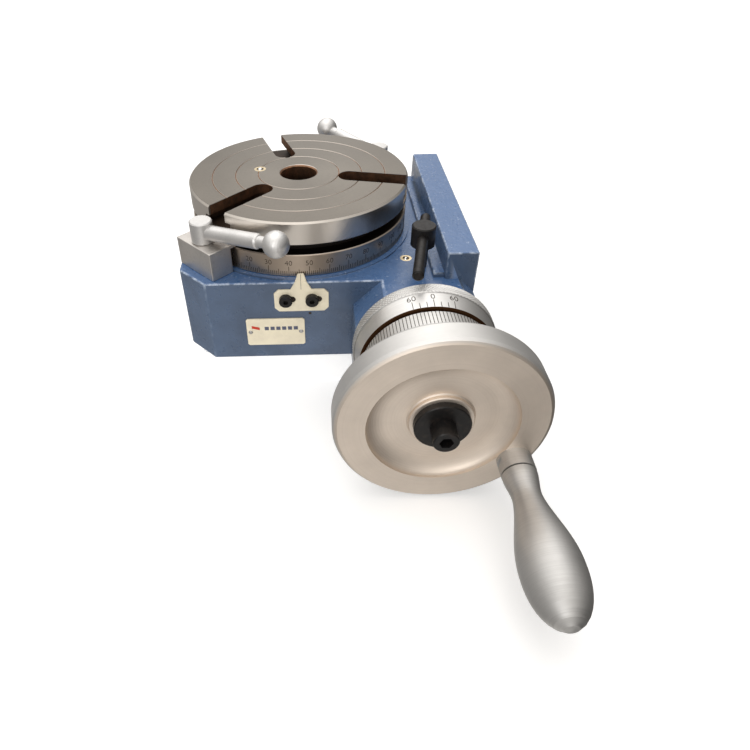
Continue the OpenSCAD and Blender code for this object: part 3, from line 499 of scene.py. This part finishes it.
def black_oxide():
    """Oiled black oxide, worn a little towards brown."""
    black = colours().black
    s = Shader("black_oxide", 0.2, 0.4)
    s.bsdf.inputs["Specular IOR Level"].default_value = 0.35
    worn = s.span(s.noise(320, 4, 0.65), 0.5, 0.75, 0, 0.5)
    s.colour(s.mix(worn, black, (0.045, 0.032, 0.024)))
    s.roughness(s.span(s.noise(600, 3), 0.3, 0.7, 0.28, 0.5))
    s.bump(s.noise(900, 3), 0.2, 0.05 * MM)
    return s.material


def plate_enamel():
    """Cream enamel of the pointer and the nameplate."""
    plate = colours().plate
    s = Shader("plate_enamel", 0.0, 0.35)
    aged = s.span(s.noise(130, 4, 0.6), 0.4, 0.75)
    s.colour(s.mix(aged, plate, shade(plate, 0.84)))
    s.roughness(s.span(s.noise(300, 3), 0.3, 0.7, 0.3, 0.45))
    s.bump(s.noise(500, 2), 0.08, 0.05 * MM)
    return s.material


def engraver_ink(name="engraver_ink", colour=None):
    """Dull filling of an engraved mark, thin in places."""
    colour = colour or tuple(colours().ink)
    s = Shader(name, 0.0, 0.8)
    s.bsdf.inputs["Specular IOR Level"].default_value = 0.15
    thin = s.span(s.noise(1400, 3, 0.6), 0.4, 0.75, 0, 0.6)
    s.colour(s.mix(thin, colour, tuple(c * 0.6 + 0.08 for c in tuple(colour)[:3])))
    s.bump(s.noise(1600, 2), 0.2, 0.02 * MM)
    return s.material


def paint_nodes(material, *names):
    """Gives CAD nodes a finish."""
    for name in names:
        NODES[name].data.materials[0] = material


# --- mesh helpers -----------------------------------------------------------------


def add_piece(name, mesh, body, slot, *materials):
    """A finished piece that rides on a body."""
    piece = bpy.data.objects.new(name, mesh)
    bpy.context.scene.collection.objects.link(piece)
    for material in materials:
        mesh.materials.append(material)
    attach(piece, body)
    return piece


def mesh_from(bm, name, smooth_angle=None):
    """A mesh from bmesh data, smooth where its faces meet below an angle."""
    bmesh.ops.recalc_face_normals(bm, faces=bm.faces)
    mesh = bpy.data.meshes.new(name)
    bm.to_mesh(mesh)
    bm.free()
    if smooth_angle is not None:
        mesh.shade_smooth()
        mesh.set_sharp_from_angle(angle=math.radians(smooth_angle))
    return mesh


def bar(bm, start, along, across, out, long, wide, thick):
    """A flat bar that starts at a point, centred across, and stands out from the surface."""
    corners = []
    for lift in (-thick, thick):
        for share, side in ((0, -1), (0, 1), (1, 1), (1, -1)):
            place = start + along * (long * share) + across * (wide * side / 2) + out * lift
            corners.append(bm.verts.new(place))
    low, high = corners[:4], corners[4:]
    bm.faces.new(reversed(low))
    bm.faces.new(high)
    for i in range(4):
        k = (i + 1) % 4
        bm.faces.new((low[i], low[k], high[k], high[i]))


def digits(bm, text, height, place):
    """Adds a number whose flat points go to their places through a function of x, y and lift."""
    curve = bpy.data.curves.new("digits", "FONT")
    curve.body = text
    curve.size = height / CAP_HEIGHT
    curve.align_x = "CENTER"
    curve.extrude = INK_LIFT
    curve.offset = -THINNER * height
    curve.resolution_u = 4
    holder = bpy.data.objects.new("digits", curve)
    bpy.context.scene.collection.objects.link(holder)
    graph = bpy.context.evaluated_depsgraph_get()
    flat = bpy.data.meshes.new_from_object(holder.evaluated_get(graph))
    bpy.data.objects.remove(holder)
    bpy.data.curves.remove(curve)
    for vertex in flat.vertices:
        vertex.co = place(*vertex.co)
    bm.from_mesh(flat)
    bpy.data.meshes.remove(flat)


def around_table(angle, radius, height):
    """A point at a direction and a distance from the table's axis."""
    return Vector((radius * math.cos(angle), radius * math.sin(angle), height))


def from_worm(angle):
    """The direction away from the worm's axis; the angle runs from the top towards +X."""
    return Vector((math.sin(angle), 0, math.cos(angle)))


def around_worm(angle, radius, reach):
    """A point around the worm's axis, at a distance from it."""
    return Vector((WORM_X, reach, WORM_Z)) + from_worm(angle) * radius


def rounded_copy(node, name, radius, shortest, slot, material):
    """A copy of a CAD node whose long outer edges are rounded; the CAD node is hidden."""
    bm = bmesh.new()
    bm.from_mesh(NODES[node].data)
    bmesh.ops.remove_doubles(bm, verts=bm.verts, dist=1e-6)
    bmesh.ops.dissolve_limit(
        bm, angle_limit=math.radians(0.5), verts=bm.verts, edges=bm.edges
    )
    wear_and_highlight = bm.verts.layers.float.new("edge_wear_and_highlight")
    edges = [
        e
        for e in bm.edges
        if len(e.link_faces) == 2
        and e.is_convex
        and e.calc_length() > shortest
        and e.calc_face_angle() > math.radians(30)
    ]
    before = set(bm.verts)
    bmesh.ops.bevel(
        bm,
        geom=edges,
        offset=radius,
        offset_type="OFFSET",
        segments=4,
        profile=0.5,
        affect="EDGES",
        clamp_overlap=False,
    )
    # The bevel's new vertices are marked for the enamel's pale edges: worn paint and painted
    # highlight.
    for vertex in bm.verts:
        if vertex not in before and all(f.calc_area() < 1e-4 for f in vertex.link_faces):
            vertex[wear_and_highlight] = 1.0
    mesh = mesh_from(bm, name, 32)
    body = NODES[node]["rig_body"]
    piece = add_piece(name, mesh, body, slot, material)
    weighted = piece.modifiers.new("weighted", "WEIGHTED_NORMAL")
    weighted.keep_sharp = True
    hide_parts(node)
    return piece


# --- operators ------------------------------------------------------------------------


class ROTARY_OT_casting(bpy.types.Operator):
    """Round the casting's edges and paint it"""

    bl_idname = "rotary.casting"
    bl_label = "Base casting"

    def execute(self, context):
        enamel = machine_enamel()
        rounded_copy(
            "base_casting", "painted_casting", sizes().casting_round, 4 * MM, "body_paint", enamel
        )
        paint_nodes(blasted_metal("cover_iron", (0.09, 0.09, 0.09), 0.5), "bottom_cover")
        return {"FINISHED"}


class ROTARY_OT_faceplate(bpy.types.Operator):
    """Give the faceplate its ground finish"""

    bl_idname = "rotary.faceplate"
    bl_label = "Faceplate"

    def execute(self, context):
        paint_nodes(ground_steel(), "faceplate")
        return {"FINISHED"}


class ROTARY_OT_ring_scale(bpy.types.Operator):
    """Engrave the degrees on the faceplate's ring"""

    bl_idname = "rotary.ring_scale"
    bl_label = "Ring scale"

    def execute(self, context):
        s = sizes()
        bm = bmesh.new()
        foot = RING_BOTTOM + 0.5 * MM
        for degree in range(360):
            angle = s.ring_zero + math.radians(degree)
            long = s.ring_short
            if degree % 10 == 0:
                long = s.ring_long
            elif degree % 5 == 0:
                long = s.ring_middle
            out = around_table(angle, 1, 0)
            across = Vector((-out.y, out.x, 0))
            start = around_table(angle, RING_R, foot)
            bar(bm, start, UP, across, out, long, s.mark_width, INK_LIFT)
        base = foot + s.ring_long + 0.6 * MM
        for degree in range(0, 360, 10):
            angle = s.ring_zero + math.radians(degree)

            def place(x, y, lift, angle=angle):
                return around_table(angle + x / RING_R, RING_R + lift, base + y)

            digits(bm, str(degree), s.ring_digit, place)
        add_piece("ring_scale", mesh_from(bm, "ring_scale"), "table", "black_oxide", engraver_ink())
        return {"FINISHED"}


class ROTARY_OT_collar(bpy.types.Operator):
    """Knurl the collar and engrave its vernier"""

    bl_idname = "rotary.collar"
    bl_label = "Vernier collar"

    def execute(self, context):
        s = sizes()
        pale = shade(colours().aluminium, 1.08)
        # The collar's front end, next to the dial, gets the painted shade.
        metal = turned_metal("collar_metal", pale, 0.46, shaded_end=COLLAR_LOW.y)
        paint_nodes(metal, "vernier_collar")
        add_piece("collar_knurling", self.knurling(s), "sleeve", "dial_aluminium", metal)
        mesh = self.vernier(s)
        add_piece("vernier_scale", mesh, "sleeve", "black_oxide", engraver_ink("vernier_ink"))
        return {"FINISHED"}

    def knurling(self, s):
        """A band of crossed diagonal knurls that stands on the collar."""
        back = COLLAR_HIGH.y - 0.9 * MM
        points_each, steps_along = 4, 16
        steps_round = s.knurl_count * points_each
        sunk = -0.3  # the band's two ends lie under the collar's surface
        pitch = 2 * math.pi * COLLAR_R / s.knurl_count
        bm = bmesh.new()
        rows = []
        for j in range(steps_along + 1):
            y = s.knurl_length * j / steps_along
            row = []
            for i in range(steps_round):
                share = i / points_each
                rise = min(ridge(share + y / pitch), ridge(share - y / pitch))
                if j in (0, steps_along):
                    rise = sunk
                radius = COLLAR_R + 0.03 * MM + s.knurl_depth * rise
                angle = 2 * math.pi * i / steps_round
                row.append(bm.verts.new(around_worm(angle, radius, back - y)))
            rows.append(row)
        for lower, upper in zip(rows, rows[1:]):
            for i in range(steps_round):
                k = (i + 1) % steps_round
                bm.faces.new((lower[i], lower[k], upper[k], upper[i]))
        return mesh_from(bm, "collar_knurling")

    def vernier(self, s):
        """Seven marks with 60, 0 and 60, starting at the collar's front edge."""
        front = COLLAR_LOW.y + 0.15 * MM
        slope = 1.25 / 8.5  # rise of the tapered band for each length along it
        edge_r = COLLAR_R - 1.6 * MM
        bm = bmesh.new()

        def on_band(angle, reach, lift):
            return around_worm(angle, edge_r + slope * (reach - COLLAR_LOW.y) + lift, reach)

        for step in range(-3, 4):
            angle = s.vernier_step * step
            long = s.vernier_long if step % 3 == 0 else s.vernier_short
            start = on_band(angle, front, 0)
            along = (on_band(angle, front + long, 0) - start).normalized()
            out = from_worm(angle)
            bar(bm, start, along, along.cross(out), out, long, s.mark_width, INK_LIFT)
        for step, text in ((-3, "60"), (0, "0"), (3, "60")):
            angle = s.vernier_step * step
            base = front + s.vernier_long + 0.5 * MM

            def place(x, y, lift, angle=angle):
                return on_band(angle + x / edge_r, base + y, lift)

            digits(bm, text, s.vernier_digit, place)
        return mesh_from(bm, "vernier_scale")


def ridge(value):
    """A triangle wave from 0 to 1 that repeats with each whole number."""
    return 1 - abs(2 * (value % 1.0) - 1)


class ROTARY_OT_dial(bpy.types.Operator):
    """Engrave the dial"""

    bl_idname = "rotary.dial"
    bl_label = "Dial"

    def execute(self, context):
        s = sizes()
        metal = turned_metal("dial_metal", shade(colours().aluminium, 1.05), 0.48)
        paint_nodes(metal, "dial_ring")
        bm = bmesh.new()
        back = DIAL_HIGH.y - 0.7 * MM
        for i in range(s.dial_marks):
            angle = 2 * math.pi * i / s.dial_marks
            long = s.dial_long if i % 5 == 0 else s.dial_short
            out = from_worm(angle)
            start = around_worm(angle, DIAL_R, back)
            bar(bm, start, FRONT, FRONT.cross(out), out, long, s.mark_width, INK_LIFT)
        base = back - s.dial_long - 0.8 * MM - s.dial_digit
        for degree in range(4):
            angle = math.pi / 2 * degree

            def place(x, y, lift, angle=angle):
                return around_worm(angle + x / DIAL_R, DIAL_R + lift, base + y)

            digits(bm, str(degree), s.dial_digit, place)
        mesh = mesh_from(bm, "dial_scale")
        add_piece("dial_scale", mesh, "dial", "black_oxide", engraver_ink("dial_ink"))
        return {"FINISHED"}


class ROTARY_OT_handwheel(bpy.types.Operator):
    """Finish the handwheel, its crank and its screw"""

    bl_idname = "rotary.handwheel"
    bl_label = "Handwheel"

    def execute(self, context):
        paint_nodes(handwheel_metal(), "handwheel")
        low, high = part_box("crank_grip")
        centre = ((low.x + high.x) / 2, (low.z + high.z) / 2)
        grip = turned_metal("grip_metal", shade(colours().aluminium, 0.86), 0.52, centre, 0.05)
        paint_nodes(grip, "crank_grip", "crank_spindle")
        paint_nodes(black_oxide(), "wheel_washer", "wheel_cap_screw")
        return {"FINISHED"}


class ROTARY_OT_clamps(bpy.types.Operator):
    """Finish the two clamps"""

    bl_idname = "rotary.clamps"
    bl_label = "Clamps"

    def execute(self, context):
        cast = blasted_metal("clamp_casting", colours().casting, 0.42, 700, 0.4)
        for side in ("front", "rear"):
            rounded_copy(
                "clamp_block_" + side,
                "clamp_casting_" + side,
                sizes().block_round,
                1.5 * MM,
                "satin_nickel",
                cast,
            )
        nickel = blasted_metal("satin_nickel", colours().nickel, 0.48, 1100, 0.12)
        paint_nodes(
            nickel,
            "clamp_nut_front",
            "clamp_nut_rear",
            "clamp_lever_front",
            "clamp_lever_rear",
        )
        return {"FINISHED"}


class ROTARY_OT_lock(bpy.types.Operator):
    """Finish the sleeve's lock and its sliding bar"""

    bl_idname = "rotary.lock"
    bl_label = "Sleeve lock"

    def execute(self, context):
        paint_nodes(black_oxide(), "lock_screw", "lock_bar", "sleeve_stop_screw")
        return {"FINISHED"}


class ROTARY_OT_plates(bpy.types.Operator):
    """Print the nameplate's plain marks and the pointer's line"""

    bl_idname = "rotary.plates"
    bl_label = "Plates"

    def execute(self, context):
        paint_nodes(plate_enamel(), "pointer_plate", "nameplate")
        paint_nodes(black_oxide(), "pointer_screws")
        self.pointer_marks()
        self.nameplate_marks()
        return {"FINISHED"}

    def pointer_marks(self):
        """The pointer's line, dark sheets as painted shadow in its slots' bottoms, and a small dark
        spot below it as a hole's painted shade.
        """
        middle = (POINTER_LOW.x + POINTER_HIGH.x) / 2
        bend = BODY_TOP + 0.7 * MM  # where the sheet starts to lean towards the ring
        line_width = 0.2 * MM
        thin = INK_LIFT / 2
        bm = bmesh.new()
        line = Vector((middle, POINTER_LOW.y, bend - 4.2 * MM))
        bar(bm, line, UP, RIGHT, FRONT, 4.1 * MM, line_width, thin)
        foot = Vector((middle, POINTER_LOW.y, bend))
        slope = Vector((middle, POINTER_HIGH.y, POINTER_HIGH.z)) - foot
        along = slope.normalized()
        away = RIGHT.cross(along)
        if away.z < 0:
            away.negate()
        start = foot + along * 0.1 * MM
        bar(bm, start, along, RIGHT, away, slope.length * 0.85, line_width, thin)
        ink = engraver_ink("pointer_ink", (0.2, 0.16, 0.12))
        add_piece("pointer_line", mesh_from(bm, "pointer_line"), "base", "black_oxide", ink)
        screw_low, screw_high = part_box("pointer_screws")
        height = (screw_low.z + screw_high.z) / 2
        head_r = 3.1 * MM
        bm = bmesh.new()
        for centre in (screw_low.x + head_r, screw_high.x - head_r):
            # Dark sheets in the slots' bottoms: painted shadow.
            start = Vector((centre - 1.0 * MM, CASTING_FRONT, height))
            bar(bm, start, RIGHT, UP, FRONT, 6.6 * MM, 3.9 * MM, 0.12 * MM)
        # A small dark spot for a hole: painted shade.
        spot = Vector((middle + 3.2 * MM, CASTING_FRONT, POINTER_LOW.z - 2.0 * MM))
        bar(bm, spot, RIGHT, UP, FRONT, 1.3 * MM, 1.1 * MM, INK_LIFT)
        mesh = mesh_from(bm, "pointer_shadow")
        add_piece("pointer_shadow", mesh, "base", "black_oxide", engraver_ink("shadow_ink"))

    def nameplate_marks(self):
        """A coloured slanted block and six plain bars in place of lettering."""
        low = NAME_LOW.copy()
        wide = NAME_HIGH.x - NAME_LOW.x
        high = NAME_HIGH.z - NAME_LOW.z
        bm = bmesh.new()
        for k in range(6):
            start = low + RIGHT * wide * (0.31 + 0.1 * k) + UP * high * 0.64
            bar(bm, start, RIGHT, UP, FRONT, wide * 0.072, high * 0.13, INK_LIFT)
        ink = engraver_ink("plate_ink", (0.10, 0.11, 0.16))
        add_piece("plate_print", mesh_from(bm, "plate_print"), "base", "black_oxide", ink)
        bm = bmesh.new()
        start = low + RIGHT * wide * 0.09 + UP * high * 0.7
        along = (RIGHT + UP * PLATE_SLANT).normalized()
        bar(bm, start, along, UP, FRONT, wide * 0.14, high * 0.1, INK_LIFT)
        accent = engraver_ink("accent_ink", tuple(colours().accent))
        add_piece("plate_accent", mesh_from(bm, "plate_accent"), "base", "plate_cream", accent)


class ROTARY_OT_inner_works(bpy.types.Operator):
    """Finish the pieces that stand inside or underneath"""

    bl_idname = "rotary.inner_works"
    bl_label = "Inner works"

    def execute(self, context):
        bronze = blasted_metal("bearing_bronze", (0.50, 0.31, 0.13), 0.32, 800, 0.15)
        paint_nodes(bronze, "worm_wheel", "thrust_washer", "rear_bush", "front_bush")
        brass = blasted_metal("oiler_brass", (0.72, 0.60, 0.40), 0.26, 900, 0.08)
        paint_nodes(brass, "table_oiler_body", "base_oiler_body", "lock_pad")
        bright = turned_metal("machined_steel", (0.52, 0.51, 0.50), 0.28)
        paint_nodes(
            bright,
            "eccentric_sleeve",
            "thrust_cap",
            "worm_shaft",
            "shaft_key",
            "dial_hub",
            "dial_spring",
            "grip_retainer",
            "spindle_nut",
            "wheel_dowels",
            "clamp_studs",
            "nameplate_pins",
        )
        ball = blasted_metal("ball_steel", (0.75, 0.74, 0.72), 0.12, 900, 0.02)
        paint_nodes(ball, "table_oiler_ball", "base_oiler_ball")
        paint_nodes(black_oxide(), "cover_screws", "nut_grub_screw", "collar_screws")
        return {"FINISHED"}


class ROTARY_OT_stage(bpy.types.Operator):
    """Set up the floor, the block that the table stands on, the lights and the camera"""

    bl_idname = "rotary.stage"
    bl_label = "Stage"

    def execute(self, context):
        floor_z = CAD_BOUNDS[0].z - 1.0 * MM
        pale = self.pale_paint()
        self.floor(floor_z, pale)
        self.block(floor_z, pale)
        self.lights()
        self.world(context.scene)
        self.camera(context.scene)
        context.scene.view_settings.view_transform = "Standard"
        return {"FINISHED"}

    def pale_paint(self):
        """Even studio white that glows a little, as a lit backdrop does."""
        s = Shader("studio_white", 0.0, 0.75)
        base = colours().floor
        s.colour(s.mix(s.noise(4, 2), shade(base, 0.99), base))
        s.bsdf.inputs["Emission Color"].default_value = (1, 1, 1, 1)
        s.bsdf.inputs["Emission Strength"].default_value = 0.3
        return s.material

    def floor(self, floor_z, material):
        """A wide floor that passes below the handwheel."""
        bm = bmesh.new()
        bmesh.ops.create_grid(bm, x_segments=1, y_segments=1, size=4.0)
        bmesh.ops.translate(bm, verts=bm.verts, vec=(0, 0, floor_z))
        self.staged("studio_floor", bm, material)

    def block(self, floor_z, material):
        """A low block under the base; the handwheel hangs in front of it."""
        inset = 6 * MM
        low = Vector((CASTING_LOW.x + inset, CASTING_LOW.y + 24 * MM, floor_z))
        high = Vector((CASTING_HIGH.x - inset, CASTING_HIGH.y - inset, -0.05 * MM))
        bm = bmesh.new()
        bmesh.ops.create_cube(bm, size=1.0)
        size = high - low
        bmesh.ops.transform(
            bm,
            verts=bm.verts,
            matrix=Matrix.Translation((low + high) / 2) @ Matrix.Diagonal((*size, 1)),
        )
        bmesh.ops.bevel(bm, geom=bm.edges[:], offset=1.2 * MM, segments=3, affect="EDGES")
        self.staged("studio_block", bm, material)

    def staged(self, name, bm, material):
        """A stage piece from bmesh data."""
        piece = bpy.data.objects.new(name, mesh_from(bm, name, 30))
        piece.data.materials.append(material)
        bpy.context.scene.collection.objects.link(piece)
        piece.visible_glossy = False

    def lights(self):
        """A big overhead softbox and a weaker front fill: place, target, size and power."""
        self.softbox("overhead", (-0.10, 0.30, 0.90), (0.0, -0.02, 0.03), 1.6, 1.3, 5.2)
        self.softbox("front_fill", (-0.30, -0.95, 0.50), (0.02, -0.05, 0.03), 0.5, 0.5, 2.0)

    def softbox(self, name, place, target, wide, high, power):
        """A rectangular area light that looks at a point."""
        light = bpy.data.lights.new(name, "AREA")
        light.shape = "RECTANGLE"
        light.size = wide
        light.size_y = high
        light.energy = power
        holder = bpy.data.objects.new(name, light)
        bpy.context.scene.collection.objects.link(holder)
        holder.location = place
        aim = Vector(target) - Vector(place)
        holder.rotation_euler = aim.to_track_quat("-Z", "Y").to_euler()

    def world(self, scene):
        """Room light: bright overhead and along the middle, half lit at -X and dark at +X."""
        world = bpy.data.worlds.new("studio_room")
        scene.world = world
        world.use_nodes = True
        tree = world.node_tree
        background = tree.nodes["Background"]
        coordinates = tree.nodes.new("ShaderNodeTexCoord")
        axes = tree.nodes.new("ShaderNodeSeparateXYZ")
        tree.links.new(coordinates.outputs["Generated"], axes.inputs[0])
        lift = self.ramp(tree, axes.outputs["Z"], ((0.05, 0.05), (0.9, 0.95)))
        across = tree.nodes.new("ShaderNodeMath")
        across.operation = "MULTIPLY_ADD"
        across.inputs[1].default_value = 0.5
        across.inputs[2].default_value = 0.5
        tree.links.new(axes.outputs["X"], across.inputs[0])
        left = (0.0, 0.55), (0.28, 0.5)
        middle = (0.42, 1.0), (0.5, 1.75), (0.58, 1.0)
        right = (0.78, 0.1), (1.0, 0.03)
        lobe = self.ramp(tree, across.outputs[0], (*left, *middle, *right))
        both = tree.nodes.new("ShaderNodeMix")
        both.data_type = "RGBA"
        both.blend_type = "ADD"
        both.inputs[0].default_value = 1.0
        tree.links.new(lift, both.inputs[6])
        tree.links.new(lobe, both.inputs[7])
        tree.links.new(both.outputs[2], background.inputs["Color"])
        background.inputs["Strength"].default_value = 0.6

    def ramp(self, tree, value, stops):
        """Slightly warm greys spread over a value, given as places and levels."""
        made = tree.nodes.new("ShaderNodeValToRGB")
        tree.links.new(value, made.inputs["Fac"])
        elements = made.color_ramp.elements
        elements[0].position = stops[0][0]
        elements[-1].position = stops[-1][0]
        for place, _ in stops[1:-1]:
            elements.new(place)
        for element, (_, grey) in zip(elements, stops):
            element.color = (grey, grey * 0.97, grey * 0.93, 1)
        return made.outputs["Color"]

    def camera(self, scene):
        """The camera at the viewing angle of the settings."""
        view = scene.rotary_camera
        forward = Vector(
            (
                math.sin(view.yaw) * math.cos(view.pitch),
                math.cos(view.yaw) * math.cos(view.pitch),
                -math.sin(view.pitch),
            )
        )
        level = Vector((math.cos(view.yaw), -math.sin(view.yaw), 0))
        down = forward.cross(level)
        right = math.cos(view.roll) * level + math.sin(view.roll) * down
        down = math.cos(view.roll) * down - math.sin(view.roll) * level
        lens = bpy.data.cameras.new("table_camera")
        lens.sensor_width = 36.0
        lens.lens = view.lens
        lens.shift_x, lens.shift_y = view.shift
        lens.clip_start = 0.01
        holder = bpy.data.objects.new("table_camera", lens)
        scene.collection.objects.link(holder)
        rotation = Matrix((right, -down, -forward)).transposed().to_4x4()
        holder.matrix_world = Matrix.Translation(view.place) @ rotation
        scene.camera = holder


class ROTARY_PT_panel(bpy.types.Panel):
    """Lists the pieces and their settings"""

    bl_idname = "ROTARY_PT_panel"
    bl_label = "Rotary table"
    bl_space_type = "VIEW_3D"
    bl_region_type = "UI"
    bl_category = "Rotary table"

    def draw(self, context):
        for operator in OPERATORS:
            self.layout.operator(operator.bl_idname)
        scene = context.scene
        for group in (scene.rotary_sizes, scene.rotary_colours, scene.rotary_camera):
            box = self.layout.box()
            for key in group.__annotations__:
                box.prop(group, key)


OPERATORS = (
    ROTARY_OT_stage,
    ROTARY_OT_casting,
    ROTARY_OT_faceplate,
    ROTARY_OT_ring_scale,
    ROTARY_OT_collar,
    ROTARY_OT_dial,
    ROTARY_OT_handwheel,
    ROTARY_OT_clamps,
    ROTARY_OT_lock,
    ROTARY_OT_plates,
    ROTARY_OT_inner_works,
)
GROUPS = (RotaryScaleSizes, RotaryColours, RotaryCamera)


def register():
    """Registers the settings, the operators and the panel."""
    for cls in (*GROUPS, *OPERATORS, ROTARY_PT_panel):
        bpy.utils.register_class(cls)
    bpy.types.Scene.rotary_sizes = PointerProperty(type=RotaryScaleSizes)
    bpy.types.Scene.rotary_colours = PointerProperty(type=RotaryColours)
    bpy.types.Scene.rotary_camera = PointerProperty(type=RotaryCamera)


def unregister():
    """Removes what register added."""
    del bpy.types.Scene.rotary_camera
    del bpy.types.Scene.rotary_colours
    del bpy.types.Scene.rotary_sizes
    for cls in (ROTARY_PT_panel, *reversed(OPERATORS), *reversed(GROUPS)):
        bpy.utils.unregister_class(cls)


def main():
    """Builds every piece in order."""
    register()
    for operator in OPERATORS:
        family, name = operator.bl_idname.split(".")
        getattr(getattr(bpy.ops, family), name)()


if __name__ == "__main__":
    main()
